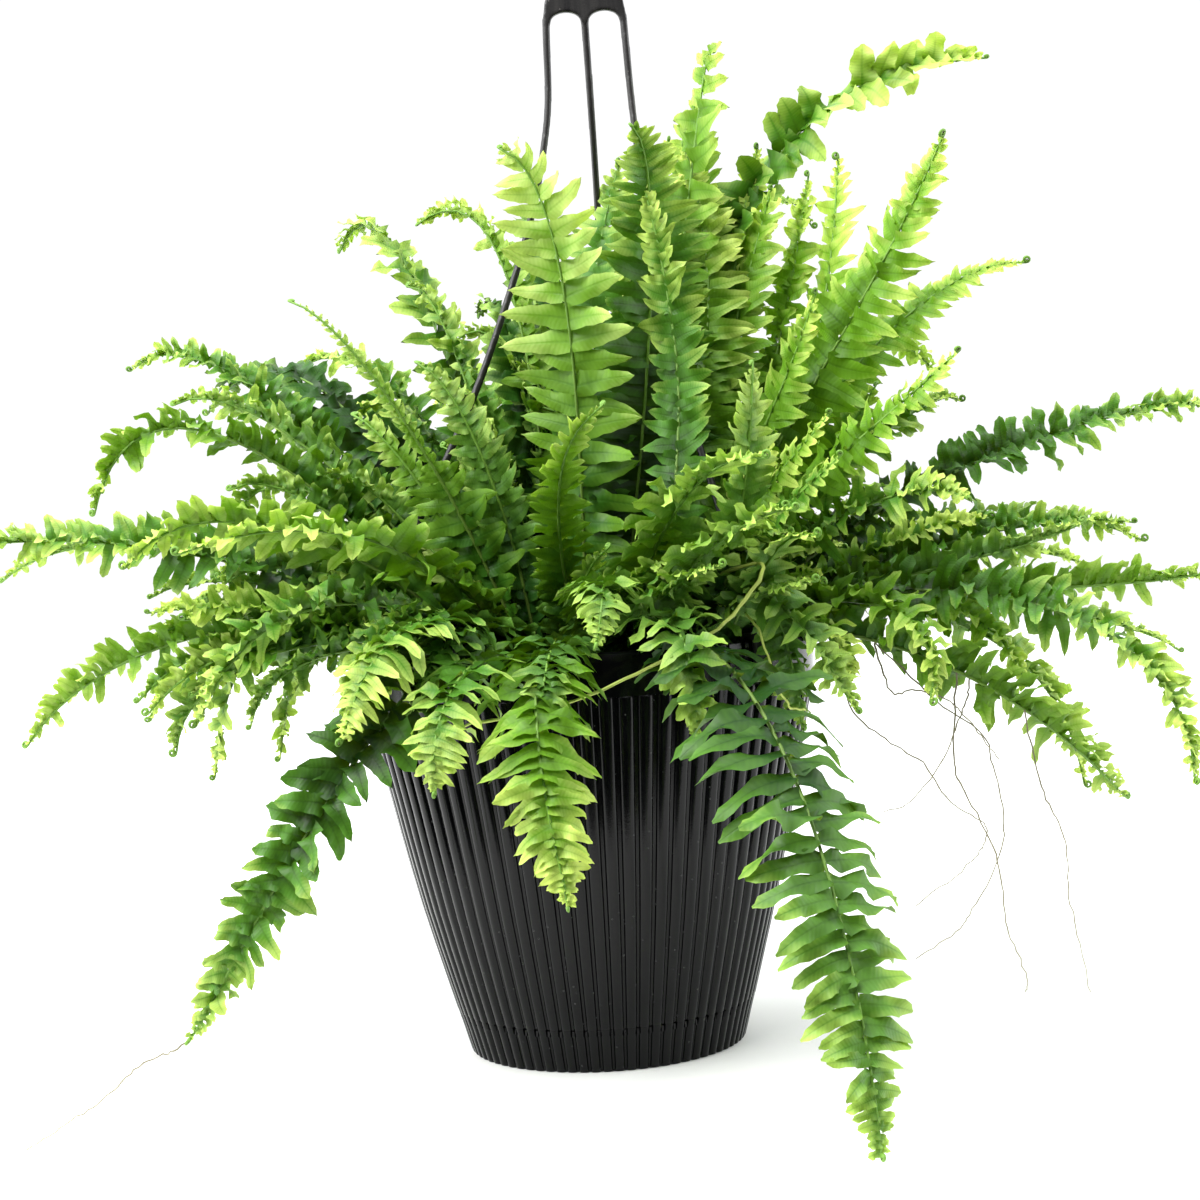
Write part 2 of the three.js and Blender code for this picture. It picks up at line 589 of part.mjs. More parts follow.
function frondGeometry(spec, curve, random) {
  const b = meshBuilder();
  const length = curve.getLength();
  const zone = (1 - BARE) * length;
  const count = THREE.MathUtils.clamp(Math.round(zone / LEAFLET_PITCH), LEAFLETS_MIN, LEAFLETS_MAX);
  // one station: a point of the stem's left or right edge, on its upper and its lower face
  const station = (t, side, place) => {
    const frame = frameAt(curve, spec, t);
    const half = stemHalf(t);
    const edge = (place ?? frame.at.clone()).addScaledVector(frame.across, side * half);
    const top = b.add(edge.clone().addScaledVector(frame.up, half));
    const low = b.add(edge.clone().addScaledVector(frame.up, -half));
    return { edge, top, low, t };
  };
  const left = [];
  const right = [];
  const foot = frameAt(curve, spec, 0);
  left.push(station(0, 1, foot.at.clone().setZ(SOIL_Z - STEM_DEPTH)));
  right.push(station(0, -1, foot.at.clone().setZ(SOIL_Z - STEM_DEPTH)));
  for (let k = 0; k < STEM_STATIONS; k += 1) {
    const t = (BARE * k) / STEM_STATIONS;
    left.push(station(t, 1));
    right.push(station(t, -1));
  }
  const bare = left.length;
  const step = (1 - BARE) / (count + 0.5);
  for (let k = 0; k <= count; k += 1) {
    left.push(station(BARE + k * step, 1));
    right.push(station(BARE + (k + 0.5) * step, -1));
  }
  // stem: upper and lower face are split into triangles alike
  const last = left.length - 1;
  for (let k = 0; k < last; k += 1) {
    const [l, r, l2, r2] = [left[k], right[k], left[k + 1], right[k + 1]];
    b.face(l.top, r.top, l2.top);
    b.face(r.top, r2.top, l2.top);
    b.face(l.low, l2.low, r.low);
    b.face(r.low, l2.low, r2.low);
  }
  b.face(left[0].top, left[0].low, right[0].top);
  b.face(right[0].top, left[0].low, right[0].low);
  b.face(left[last].top, right[last].top, left[last].low);
  b.face(right[last].top, right[last].low, left[last].low);
  // sides: a plain wall, or the outline of a leaflet
  [[left, 1], [right, -1]].forEach(([row, side]) => {
    for (let k = 0; k < last; k += 1) {
      const from = row[k];
      const to = row[k + 1];
      const shape = k < bare ? null : clearLeaflet(spec, curve, from, to, side, k - bare, length, random);
      const rim = (shape ?? []).map(({ top, low }) => ({ top: b.add(top), low: b.add(low) }));
      const chain = [from, ...rim, to];
      const wall = (a, c) => {
        if (side > 0) {
          b.face(a.top, c.top, a.low);
          b.face(c.top, c.low, a.low);
        } else {
          b.face(a.top, a.low, c.top);
          b.face(c.top, a.low, c.low);
        }
      };
      for (let i = 0; i + 1 < chain.length; i += 1) wall(chain[i], chain[i + 1]);
      if (shape) {
        [[0, 1, 2], [0, 2, 3]].forEach(([i, j, m]) => {
          const [p, q, r] = [chain[i], chain[j], chain[m]];
          if (side > 0) {
            b.face(p.top, r.top, q.top);
            b.face(p.low, q.low, r.low);
          } else {
            b.face(p.top, q.top, r.top);
            b.face(p.low, r.low, q.low);
          }
        });
      }
    }
  });
  return b.geometry();
}

// a leaflet takes the first fold and length that keep it clear of every other piece
function clearLeaflet(spec, curve, from, to, side, order, frondLength, random) {
  const t = (from.t + to.t) / 2;
  const u = (t - BARE) / (1 - BARE);
  const frame = frameAt(curve, spec, t);
  const liked = rad(8 + 10 * (random() - 0.5));
  const sweep = 0.22 + 0.5 * u ** 3;
  const full = spec.leaflet * envelope(u) * (0.94 + 0.12 * random());
  for (const share of LENGTHS) {
    for (const bendAway of FOLDS) {
      const fold = liked + rad(bendAway);
      const shape = leafletCorners(from.edge, to.edge, frame, side, fold, full * share, sweep);
      const [low, shoulder, point, high] = shape.corners;
      const off = shape.normal;
      const grown = [low.clone().lerp(shoulder, 0.12), shoulder, point, high.clone().lerp(point, 0.12)];
      const tests = slabTriangles(grown, [off, off, off, off], LEAF_THICK / 2 + CLEAR);
      const own = `${spec.name}.${side}.${order}`;
      const beside = `${spec.name}.${side}.${order - 1}`;
      const clear = isClear(tests, (owner) => owner === spec.name || owner === beside || owner === own);
      if (clear) {
        const half = LEAF_THICK / 2;
        slabTriangles(shape.corners, [off, off, off, off], half)
          .forEach((triangle) => remember(triangle, own));
        return [shoulder, point].map((p) => (
          { top: p.clone().addScaledVector(off, half), low: p.clone().addScaledVector(off, -half) }));
      }
    }
  }
  return null;
}

// ---- runners: bare shoots that cross the front of the pot ------------------------------------
const RUNNER_THICK = 1.8;
const RUNNERS = [
  ['runner_pale', [
    [50, -62, 194], [50, -62, 213], [57, -86, 250], [90, -128, 264], [72, -150, 240],
    [40, -160, 222], [0, -150, 205], [-45, -150, 196], [-90, -135, 188], [-120, -125, 180],
  ]],
  ['runner_thin', [
    [72, -50, 194], [72, -50, 213], [79, -84, 238], [86, -128, 232], [92, -138, 208],
    [100, -128, 192], [118, -108, 186], [134, -86, 182],
  ]],
];
const RUNNER_STEPS = 16;

function runnerGeometry(points) {
  const curve = new THREE.CatmullRomCurve3(points.map((p) => vec(...p)));
  return barAlong(curve, RUNNER_THICK, RUNNER_THICK, RUNNER_STEPS);
}

// ---- the plant -------------------------------------------------------------------------------
// seeded draws, so that the plant is the same each time
function seeded(seed) {
  let state = seed;
  return () => {
    state = (state * 1664525 + 1013904223) % 4294967296;
    return state / 4294967296;
  };
}

const group = new THREE.Group();
function place(name, geometry, material) {
  const mesh = new THREE.Mesh(geometry, material);
  mesh.name = name;
  group.add(mesh);
  return geometry;
}

const roots = placeRoots();
const stems = roots.map((root, k) => {
  const spec = specs[k];
  const heading = Math.atan2(spec.tip.y - root.y, spec.tip.x - root.x);
  return { x: root.x, y: root.y, angle: heading };
});
RUNNERS.forEach(([, points]) => stems.push({ x: points[0][0], y: points[0][1], angle: 0 }));

rememberGeometry(place('saucer', saucerGeometry(), plastic), 'saucer');
rememberGeometry(place('pot', cut(potGeometry(), drainHoles()), plastic), 'pot');
rememberGeometry(place('soil', soilGeometry(stems), earth), 'soil');
rememberGeometry(place('hanger', hangerGeometry(), plastic), 'hanger');
RUNNERS.forEach(([name, points]) => {
  const geometry = runnerGeometry(points);
  place(name, geometry, stolon);
  rememberGeometry(mergeVertices(geometry.clone()), name);
});

const curves = specs.map((spec, k) => clearCurve(spec, roots[k]));
const random = seeded(11);
specs.forEach((spec, k) => place(`frond_${spec.name}`, frondGeometry(spec, curves[k], random), leaf));

export default group;
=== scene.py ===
# %% [markdown]
# # A fern in a ribbed hanging pot
# The part comes from CAD with its right sizes, but with plain leaves. This lesson dresses it: the
# moulded pot, the tray and the hanger, the potting mix, and more than ten thousand leaflets, on
# the CAD's fifty-four fronds and on more than a hundred young ones between them. Everything is in
# metres, the pot stands on z = 0 and its front looks along -Y.

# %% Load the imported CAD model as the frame
import math
import random

import bmesh
import bpy
import numpy as np
from mathutils import Matrix, Vector, noise


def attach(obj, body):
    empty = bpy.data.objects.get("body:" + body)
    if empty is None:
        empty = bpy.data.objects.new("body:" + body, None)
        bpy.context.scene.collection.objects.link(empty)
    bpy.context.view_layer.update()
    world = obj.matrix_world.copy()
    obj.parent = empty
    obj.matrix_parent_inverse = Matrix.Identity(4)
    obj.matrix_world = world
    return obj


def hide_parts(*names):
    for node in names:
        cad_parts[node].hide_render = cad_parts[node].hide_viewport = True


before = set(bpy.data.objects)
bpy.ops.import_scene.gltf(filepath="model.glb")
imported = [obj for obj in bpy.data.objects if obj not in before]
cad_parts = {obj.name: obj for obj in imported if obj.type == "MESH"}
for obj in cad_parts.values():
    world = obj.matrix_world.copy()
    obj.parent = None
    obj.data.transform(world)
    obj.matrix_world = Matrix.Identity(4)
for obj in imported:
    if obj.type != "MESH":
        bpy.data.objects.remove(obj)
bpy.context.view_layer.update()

bpy.ops.object.select_all(action="DESELECT")
MM = 0.001
chance = random.Random(31)

# %% [markdown]
# ## The camera
# The photograph was taken 1.2 m in front of the pot, a little above its rim, with a phone's
# longer lens, and the phone was held slightly askew. A camera can be set by eye, but then every
# piece is judged against a picture that is a little off. These numbers come from fitting the
# pot's outline, so the render lies over the photograph.

# %% Stand the camera where the photograph was taken
CAMERA_AT = Vector((0.0, -1.2, 0.286))
YAW, PITCH, ROLL = (math.radians(v) for v in (0.43, 1.9, 3.3))
PIXELS, FOCAL_PIXELS, SENSOR = 1200, 2150, 36.0

ahead = Vector((math.sin(YAW) * math.cos(PITCH), math.cos(YAW) * math.cos(PITCH), -math.sin(PITCH)))
level_right = Vector((math.cos(YAW), -math.sin(YAW), 0))
level_up = level_right.cross(ahead)
right = math.cos(ROLL) * level_right - math.sin(ROLL) * level_up
up = math.sin(ROLL) * level_right + math.cos(ROLL) * level_up

bpy.ops.object.camera_add(location=CAMERA_AT)
camera = bpy.context.object
camera.matrix_world = Matrix.Translation(CAMERA_AT) @ Matrix((right, up, -ahead)).transposed().to_4x4()
camera.data.sensor_width = SENSOR
camera.data.lens = SENSOR * FOCAL_PIXELS / PIXELS
camera.data.dof.use_dof = False
bpy.context.scene.camera = camera
print("lens", round(camera.data.lens, 1), "mm")

# %% [markdown]
# ## Materials as small networks
# A material is a handful of nodes. They could be wired by hand in the shader editor. Here one
# function adds a node, sets what doesn't change on its own sockets, and wires in what does, so
# that a material reads from top to bottom. Colours are written as they look on a screen and
# turned to linear light once.


# %% One helper for colours and one for nodes
def screen(hex_colour):
    """The linear colour of a hex colour as a screen shows it."""
    channels = [int(hex_colour[k:k + 2], 16) / 255 for k in (1, 3, 5)]
    return [c / 12.92 if c <= 0.04045 else ((c + 0.055) / 1.055) ** 2.4 for c in channels] + [1.0]


def add(tree, kind, wires=None, stops=(), **settings):
    """Adds one node. Settings are its properties, or the values of its sockets. Wires go to its
    inputs, where a plain number is set. Stops are a colour ramp's places and hex colours."""
    made = tree.nodes.new("ShaderNode" + kind)
    for name, value in settings.items():
        if hasattr(made, name):
            setattr(made, name, value)
        else:
            made.inputs[name.replace("_", " ")].default_value = value
    for name, source in (wires or {}).items():
        if isinstance(source, (int, float)):
            made.inputs[name].default_value = source
        else:
            tree.links.new(source, made.inputs[name])
    while stops and len(made.color_ramp.elements) < len(stops):
        made.color_ramp.elements.new(0.5)
    for k, (place, colour) in enumerate(stops):
        made.color_ramp.elements[k].position = place
        made.color_ramp.elements[k].color = screen(colour)
    return made


# %% Two helpers for whole networks
def weighted_sum(tree, total, *terms):
    """A number, and (socket, weight) pairs that are added to it."""
    for source, weight in terms:
        made = add(tree, "Math", {0: source, 1: weight, 2: total}, operation="MULTIPLY_ADD")
        total = made.outputs[0]
    return total


def fresh_material(name):
    """An empty material and its tree of nodes."""
    made = bpy.data.materials.new(name)
    made.use_nodes = True
    made.node_tree.nodes.clear()
    print("material:", name)
    return made, made.node_tree


# %% [markdown]
# ## Black polypropylene for pot, tray and hanger
# Nursery pots are injection-moulded polypropylene, coloured through with carbon black. The mould
# leaves a satin skin: a soft highlight on every rib and a faint grain, and handling leaves dull
# streaks and specks of dry dust. One flat black would look like a drawing, so three patterns vary
# it a little, each at its own size.


# %% Moulded polypropylene
def moulded_plastic(name, dark, light, dust, rough, shine):
    """Satin black plastic with streaks, the mould's grain and specks of dust."""
    made, tree = fresh_material(name)
    place = add(tree, "TexCoord").outputs["Object"]
    # streaks run down the wall: 6 mm wide and ten times as long
    stretched = add(tree, "Mapping", {"Vector": place}, Scale=(1, 1, 0.1))
    streaks = add(tree, "TexNoise", {"Vector": stretched.outputs[0]},
                  Scale=160.0, Detail=4.0, Roughness=0.6)
    # grain of the spark-eroded mould, 0.8 mm here so that it shows; the real one is about 0.2 mm
    grain = add(tree, "TexNoise", {"Vector": place}, Scale=1250.0, Detail=2.0)
    # specks of dust, one to 6 mm and each about 0.5 mm wide
    specks = add(tree, "TexVoronoi", {"Vector": place}, Scale=170.0, Randomness=1.0)
    speck = add(tree, "MapRange", {"Value": specks.outputs["Distance"]},
                From_Min=0.05, From_Max=0.09, To_Min=0.55, To_Max=0.0)
    body = add(tree, "ValToRGB", {"Fac": streaks.outputs["Fac"]}, stops=((0.35, dark), (0.75, light)))
    dusty = add(tree, "MixRGB", {"Fac": speck.outputs[0], "Color1": body.outputs["Color"]},
                Color2=screen(dust))
    dull = add(tree, "MapRange", {"Value": streaks.outputs["Fac"]},
               From_Min=0.3, From_Max=0.7, To_Min=rough, To_Max=rough + 0.08)
    bump = add(tree, "Bump", {"Height": grain.outputs["Fac"]}, Strength=0.08, Distance=0.0004)
    skin = add(tree, "BsdfPrincipled", {"Base Color": dusty.outputs[0], "Roughness": dull.outputs[0],
                                        "Normal": bump.outputs[0]}, IOR=1.49, Specular_IOR_Level=shine)
    add(tree, "OutputMaterial", {"Surface": skin.outputs[0]})
    return made


pot_skin = moulded_plastic("black moulded polypropylene", "#040505", "#0a0b0c", "#565857", 0.1, 0.18)
hanger_skin = moulded_plastic("black polypropylene of the hanger",
                              "#121112", "#2b2927", "#6d6a66", 0.32, 0.5)

# %% [markdown]
# ## Shaping by selection
# Every hard piece here starts as a Blender primitive and is pulled into shape in edit mode. The
# operators act on what is selected, so small helpers select a piece alone, start a primitive, and
# pick its points by their place, as a hand would with the box select. More of them finish a
# piece, join pieces, and say what each stands for in the CAD.


# %% Select and start
def select_only(*pieces):
    """Leaves edit mode and selects these pieces alone. The last of them is the active one."""
    if bpy.context.mode != "OBJECT":
        bpy.ops.object.mode_set(mode="OBJECT")
    bpy.ops.object.select_all(action="DESELECT")
    for piece in pieces:
        piece.select_set(True)
    if pieces:
        bpy.context.view_layer.objects.active = pieces[-1]


def settle():
    """Works the selected piece's place, turn and size into its mesh."""
    bpy.ops.object.transform_apply(location=True, rotation=True, scale=True)


def start(operator, **settings):
    """Adds a primitive with nothing else selected, and opens it in edit mode."""
    select_only()
    operator(**settings)
    settle()
    bpy.ops.object.mode_set(mode="EDIT")
    return bpy.context.object


def pick(piece, test):
    """Selects the points of a piece in edit mode that pass a test on their place. Returns how many."""
    shape = bmesh.from_edit_mesh(piece.data)
    wanted = [v for v in shape.verts if test(v.co)]
    for part in (*shape.faces, *shape.edges, *shape.verts):
        part.select = False
    for v in wanted:
        v.select = True
    shape.select_flush(True)
    bmesh.update_edit_mesh(piece.data)
    return len(wanted)


# %% Finish, join and dress
def finished(piece, name, *skins):
    """Leaves edit mode, settles the piece, and gives it its name and materials."""
    select_only(piece)
    settle()
    piece.name = piece.data.name = name
    piece.data.materials.clear()
    for skin in skins:
        piece.data.materials.append(skin)
    return piece


def apply_modifier(piece, kind, **settings):
    """Adds a modifier to a piece and applies it."""
    select_only(piece)
    modifier = piece.modifiers.new(kind, kind)
    for name, value in settings.items():
        setattr(modifier, name, value)
    bpy.ops.object.modifier_apply(modifier=modifier.name)


def soften(piece, degrees):
    """Smooth shading that keeps edges sharper than the angle."""
    select_only(piece)
    bpy.ops.object.shade_smooth_by_angle(angle=math.radians(degrees))


def join(target, others, name):
    """Joins other pieces into the target, and names it."""
    select_only(*others, target)
    bpy.ops.object.join()
    target.name = target.data.name = name
    return target


def dress(piece, slot, *nodes):
    """Says what carries a piece and which CAD nodes it is. The slot is not used."""
    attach(piece, "root")
    if nodes:
        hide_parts(*nodes)
    print(piece.name, len(piece.data.polygons), "faces")
    return piece


# %% [markdown]
# ## The ribbed wall
# Pot and tray share one wall pattern: 75 upright ribs, each a shallow cushion with a narrow
# groove beside it. Round the pot this gives the photograph's pin-stripes: two thin lights at each
# groove in front, broad grey bands at the sides. The grooves could be cut with booleans, which
# leaves ragged faces. Instead one circle gets the outline of all the ribs, and is then extruded
# and scaled from ring to ring, as a potter draws up a wall. The rim band is smooth, so there the
# ring is first made round with To Sphere.

# %% Dimensions of the wall, as in the CAD
RIBS = 75
PITCH_ANGLE = 2 * math.pi / RIBS
# each point of a rib: its share of the pitch, from the middle of the rib, and its depth in mm
RIB_POINTS = [(0.0, 0.0), (0.13, 0.06), (0.24, 0.24), (0.32, 0.55), (0.375, 1.0), (0.415, 1.5),
              (0.585, 1.5), (0.625, 1.0), (0.68, 0.55), (0.76, 0.24), (0.87, 0.06)]
print("a rib takes", round(math.degrees(PITCH_ANGLE), 2), "degrees of the wall")


# %% Draw up a wall from its rings
def rib_share(co):
    """How far round a point is within its rib's pitch, from 0 to 1."""
    return (math.atan2(co.y, co.x) / PITCH_ANGLE) % 1.0


def turned_shell(rings, foot_centre):
    """A closed shell from rings of (radius, height, round or not), in millimetres, in edit mode."""
    count = len(RIB_POINTS)
    radius, height, _ = rings[0]
    # the primitive starts on the Y axis, so it is turned to put a rib's middle on the X axis
    shell = start(bpy.ops.mesh.primitive_circle_add, vertices=RIBS * count, radius=radius * MM,
                  fill_type="TRIFAN", rotation=(0, 0, -math.pi / 2), location=(0, 0, height * MM))
    centre = (0, 0, height * MM)
    for k, (corner, depth) in enumerate(RIB_POINTS[1:], start=1):
        pick(shell, lambda co: co.xy.length > radius * MM / 2 and abs(rib_share(co) * count - k) < 0.3)
        turn = (corner - k / count) * PITCH_ANGLE
        bpy.ops.transform.rotate(value=-turn, orient_axis="Z", center_override=centre)
        bpy.ops.transform.resize(value=((radius - depth) / radius,) * 2 + (1,), center_override=centre)
    pick(shell, lambda co: co.xy.length < radius * MM / 2)
    bpy.ops.transform.translate(value=(0, 0, (foot_centre - height) * MM))
    pick(shell, lambda co: co.xy.length > radius * MM / 2)
    for (r0, z0, _), (r1, z1, rounded) in zip(rings, rings[1:]):
        centre = (0, 0, z1 * MM)
        bpy.ops.mesh.extrude_region_move(TRANSFORM_OT_translate={"value": (0, 0, (z1 - z0) * MM)})
        if rounded:
            bpy.ops.transform.tosphere(value=1, center_override=centre)
            shape = bmesh.from_edit_mesh(shell.data)
            r0 = next(v.co.xy.length for v in shape.verts if v.select) / MM
        bpy.ops.transform.resize(value=(r1 / r0, r1 / r0, 1), center_override=centre)
    bpy.ops.mesh.merge(type="CENTER")
    bpy.ops.mesh.select_all(action="SELECT")
    bpy.ops.mesh.normals_make_consistent(inside=False)
    bpy.ops.mesh.faces_shade_smooth()
    return shell


# %% [markdown]
# ## The tray
# The clip-on tray has the pot's ribs, so that pot and tray look like one piece with a fine seam.
# Its lip dips a little under each groove, which leaves the row of small dark slots that the
# photograph shows: water can be poured out there. The slots aren't cut: the wall has points
# enough for its lip to be lowered there.

# %% Model the tray
TRAY_TOP, NOTCH = 24.0, 3.8  # the height of its lip, and how far the slots reach down, in mm
SHARP = 40  # edges of the moulded walls that turn by more degrees stay sharp
tray_rings = [(75.6, 0.0, False), (76.6, 0.35, False), (77.1, 1.2, False), (78.9, 7.5, False),
              (81.2, 16.0, False), (83.3, 23.2, False), (83.5, TRAY_TOP, False),
              (81.4, TRAY_TOP, True), (80.0, 21.5, True), (74.0, 4.0, True), (70.0, 2.4, True)]
tray = turned_shell(tray_rings, 0.0)
# the points of the lip's outer edge that lie in a groove, in the middle of each pitch
notched = pick(tray, lambda co: abs(co.z - TRAY_TOP * MM) < 1e-4 and co.xy.length > 81.0 * MM
               and 0.36 < rib_share(co) < 0.64)
bpy.ops.transform.translate(value=(0, 0, -NOTCH * MM))
tray = finished(tray, "drip_tray", pot_skin)
soften(tray, SHARP)
dress(tray, "pot_plastic", "saucer")
print("points lowered for the slots:", notched)

# %% [markdown]
# ## The pot
# The pot widens from 168 mm at the seam to 252 mm at the rim, with a slight belly. Above the ribs
# runs a smooth band, and the ribs reach up through it only where the hanger clips on. It is drawn
# up like the tray, from more rings, and the grooves near the clips are pressed into the finished
# band.

# %% Model the pot
RIM_TOP, BAND_FOOT = 224.0, 201.0
LUG_AZIMUTHS = [-165, -45, 75]
LUG_HALF_ANGLE = 12.5  # degrees on each side of a lug where ribs run up to the rim
LUG_GROOVE = 0.9885  # the radius of a groove there, as a share of the band's
pot_rings = [(83.6, 24.1, False), (83.9, 24.5, False), (89.4, 44.0, False), (95.0, 64.0, False),
             (100.3, 84.0, False), (105.0, 104.0, False), (109.4, 124.0, False),
             (113.6, 144.0, False), (118.0, 164.0, False), (122.3, 184.0, False),
             (125.4, 199.4, False), (125.4, 200.6, False), (126.0, 201.2, True),
             (126.0, 204.0, True), (126.0, 216.0, True), (126.0, 222.6, True), (125.6, 223.5, True),
             (124.8, RIM_TOP, True), (122.4, RIM_TOP, True), (121.6, 223.5, True),
             (121.2, 222.6, True), (121.2, BAND_FOOT, True), (100.0, 110.0, True),
             (81.2, 29.0, True), (79.5, 27.3, True)]
pot = turned_shell(pot_rings, 24.1)


def in_lug_groove(co):
    """Whether a point is in a groove of the rim band, near where the hanger clips on."""
    azimuth = math.degrees(math.atan2(co.y, co.x))
    near = any(abs((azimuth - lug + 180) % 360 - 180) < LUG_HALF_ANGLE for lug in LUG_AZIMUTHS)
    on_band = co.xy.length > 124.5 * MM and co.z > (BAND_FOOT - 0.1) * MM
    return near and on_band and 0.41 < rib_share(co) < 0.59


grooved = pick(pot, in_lug_groove)
bpy.ops.transform.resize(value=(LUG_GROOVE, LUG_GROOVE, 1), center_override=(0, 0, 0))
pot = finished(pot, "ribbed_pot", pot_skin)
soften(pot, SHARP)
dress(pot, "pot_plastic", "pot")
print("points pressed in for the grooves at the lugs:", grooved)

# %% [markdown]
# ## The hanger
# A hanger is moulded flat in one piece: a hook, a plate, and three legs that part below two
# arches and are bent outwards to clips on the rim. The legs and the hook are curves with a round
# section, the plate and the clips are boxes. Each joint could be bevelled by hand. A voxel remesh
# melts them all into one skin instead, with soft fillets, as plastic has where arms meet.

# %% Dimensions of the hanger, as in the CAD
PLATE_X, PLATE_Z, PLATE_WIDE, PLATE_TALL, PLATE_THICK = 19, 566, 47, 26, 4
LEG_WIDE, LEG_THICK, ARCH_DEEP, NECK_WIDE, HOOK_RADIUS, HOOK_THICK = 4.4, 4.5, 6, 13, 17, 5
RIM_RADIUS, CLIP_TOP, CLIP_DROP, LUG_WIDE = 126, 3.4, 17, 12
# a clip grips the rim between two walls below a roof: their distances from the axis, its heights
CLIP_OUTSIDE, CLIP_INSIDE, CLIP_ROOF = (126.3, 128.7), (118.4, 120.8), (0.5, 3.7)
print("the plate is", PLATE_Z - RIM_TOP, "mm above the rim")


# %% Curves and boxes as meshes
def as_mesh(name, curve):
    """Puts a curve into the scene and makes it a mesh."""
    made = bpy.data.objects.new(name, curve)
    bpy.context.scene.collection.objects.link(made)
    select_only(made)
    bpy.ops.object.convert(target="MESH")
    return bpy.context.object


def rod(points, thick, sides=3, radii=None, kind="BEZIER"):
    """A round rod through points given in millimetres. radii scale its thickness point by point."""
    curve = bpy.data.curves.new("rod", "CURVE")
    curve.dimensions = "3D"
    curve.bevel_depth = thick / 2 * MM
    curve.bevel_resolution = sides
    curve.use_fill_caps = True
    curve.resolution_u = 10
    line = curve.splines.new(kind)
    knots = line.bezier_points if kind == "BEZIER" else line.points
    knots.add(len(points) - 1)
    for k, (knot, place) in enumerate(zip(knots, points)):
        spot = Vector(place) * MM
        if kind == "BEZIER":
            knot.co = spot
            knot.handle_left_type = knot.handle_right_type = "AUTO"
        else:
            knot.co = (*spot, 1)
        knot.radius = radii[k] if radii else 1
    return as_mesh("rod", curve)


def block(size, centre, azimuth):
    """A box of a size in millimetres, turned round the pot's axis."""
    select_only()
    bpy.ops.mesh.primitive_cube_add(size=1, location=Vector(centre) * MM)
    made = bpy.context.object
    made.scale = Vector(size) * MM
    settle()
    made.rotation_euler.z = azimuth
    settle()
    return made


# %% The plate, with its two arches
half = PLATE_WIDE / 2
arch_half = (PLATE_WIDE - 3 * LEG_WIDE) / 4
outline = [(-half, 0)]
for side in (-1, 1):
    middle = side * (arch_half + LEG_WIDE / 2)
    for k in range(13):
        turn = math.pi * k / 12
        outline.append((middle - arch_half * math.cos(turn), ARCH_DEEP * math.sin(turn) ** 0.8))
shoulders = [(half, 0), (half - 2, PLATE_TALL * 0.5), (half - 9, PLATE_TALL * 0.85),
             (NECK_WIDE / 2, PLATE_TALL)]
outline += shoulders + [(-x, z) for x, z in shoulders[:0:-1]]
plate_line = bpy.data.curves.new("plate", "CURVE")
plate_line.dimensions = "2D"
plate_line.fill_mode = "BOTH"
plate_line.extrude = PLATE_THICK / 2 * MM
ring = plate_line.splines.new("POLY")
ring.points.add(len(outline) - 1)
for point, (x, z) in zip(ring.points, outline):
    point.co = (x * MM, z * MM, 0, 1)
ring.use_cyclic_u = True
plate = as_mesh("plate", plate_line)
plate.rotation_euler.x = math.pi / 2
plate.location = Vector((PLATE_X, 0, PLATE_Z)) * MM
settle()
print("plate of", len(plate.data.polygons), "faces")

# %% Legs, clips and hook
arms = []
outer_leg = (PLATE_WIDE - LEG_WIDE) / 2
for azimuth, leg_x in zip(LUG_AZIMUTHS, (-outer_leg, outer_leg, 0)):
    turn = math.radians(azimuth)
    out = Vector((math.cos(turn), math.sin(turn), 0))
    # as in the CAD, a leg runs down from the plate, bends at its shoulder and slants to its clip
    foot = out * (RIM_RADIUS - 1) + Vector((0, 0, RIM_TOP + CLIP_TOP * 0.75))
    top = Vector((PLATE_X + leg_x, 0, PLATE_Z + ARCH_DEEP / 2))
    below = Vector((top.x + out.x * 4, out.y * 6, PLATE_Z - 60))
    shoulder = foot.lerp(below, 0.6) - out * 12
    low = foot.lerp(shoulder, 0.35)
    arms.append(rod([top, below, shoulder, low, foot], LEG_THICK, radii=[1, 0.92, 0.95, 1, 1]))
    for (inner, outer), bottom in ((CLIP_OUTSIDE, -CLIP_DROP), (CLIP_INSIDE, -CLIP_DROP / 2),
                                   ((CLIP_INSIDE[0], CLIP_OUTSIDE[1]), CLIP_ROOF[0])):
        foot_z, top_z = RIM_TOP + bottom, RIM_TOP + CLIP_ROOF[1]
        arms.append(block((outer - inner, LUG_WIDE, top_z - foot_z),
                          ((inner + outer) / 2, 0, (foot_z + top_z) / 2), turn))
neck_z = PLATE_Z + PLATE_TALL - 3
bend_z = neck_z + 2.1 * HOOK_RADIUS
hook = [(PLATE_X, 0, neck_z), (PLATE_X + HOOK_RADIUS * 0.5, 0, neck_z + HOOK_RADIUS * 0.7)]
for turn in map(math.radians, range(-20, 201, 20)):
    hook.append((PLATE_X + HOOK_RADIUS * math.cos(turn), 0, bend_z + HOOK_RADIUS * math.sin(turn)))
arms.append(rod(hook, HOOK_THICK, radii=[1.3] + [1.0] * (len(hook) - 1)))
hanger = join(plate, arms, "hanger")
apply_modifier(hanger, "REMESH", mode="VOXEL", voxel_size=0.9 * MM)
apply_modifier(hanger, "SMOOTH", factor=0.6, iterations=3)
hanger = finished(hanger, "clip_on_hanger", hanger_skin)
soften(hanger, 60)
dress(hanger, "pot_plastic", "hanger")

# %% [markdown]
# ## The potting mix
# Peat and fine bark, dark when moist, with a heaped, crumbly top and a few pale grains of
# perlite. The plug is drawn from one circle, ring by ring. Its top could be sculpted, but little
# of it shows between the stems, so it is roughened by moving each point a little. The crumbs are
# three small lumps, copied a few hundred times.


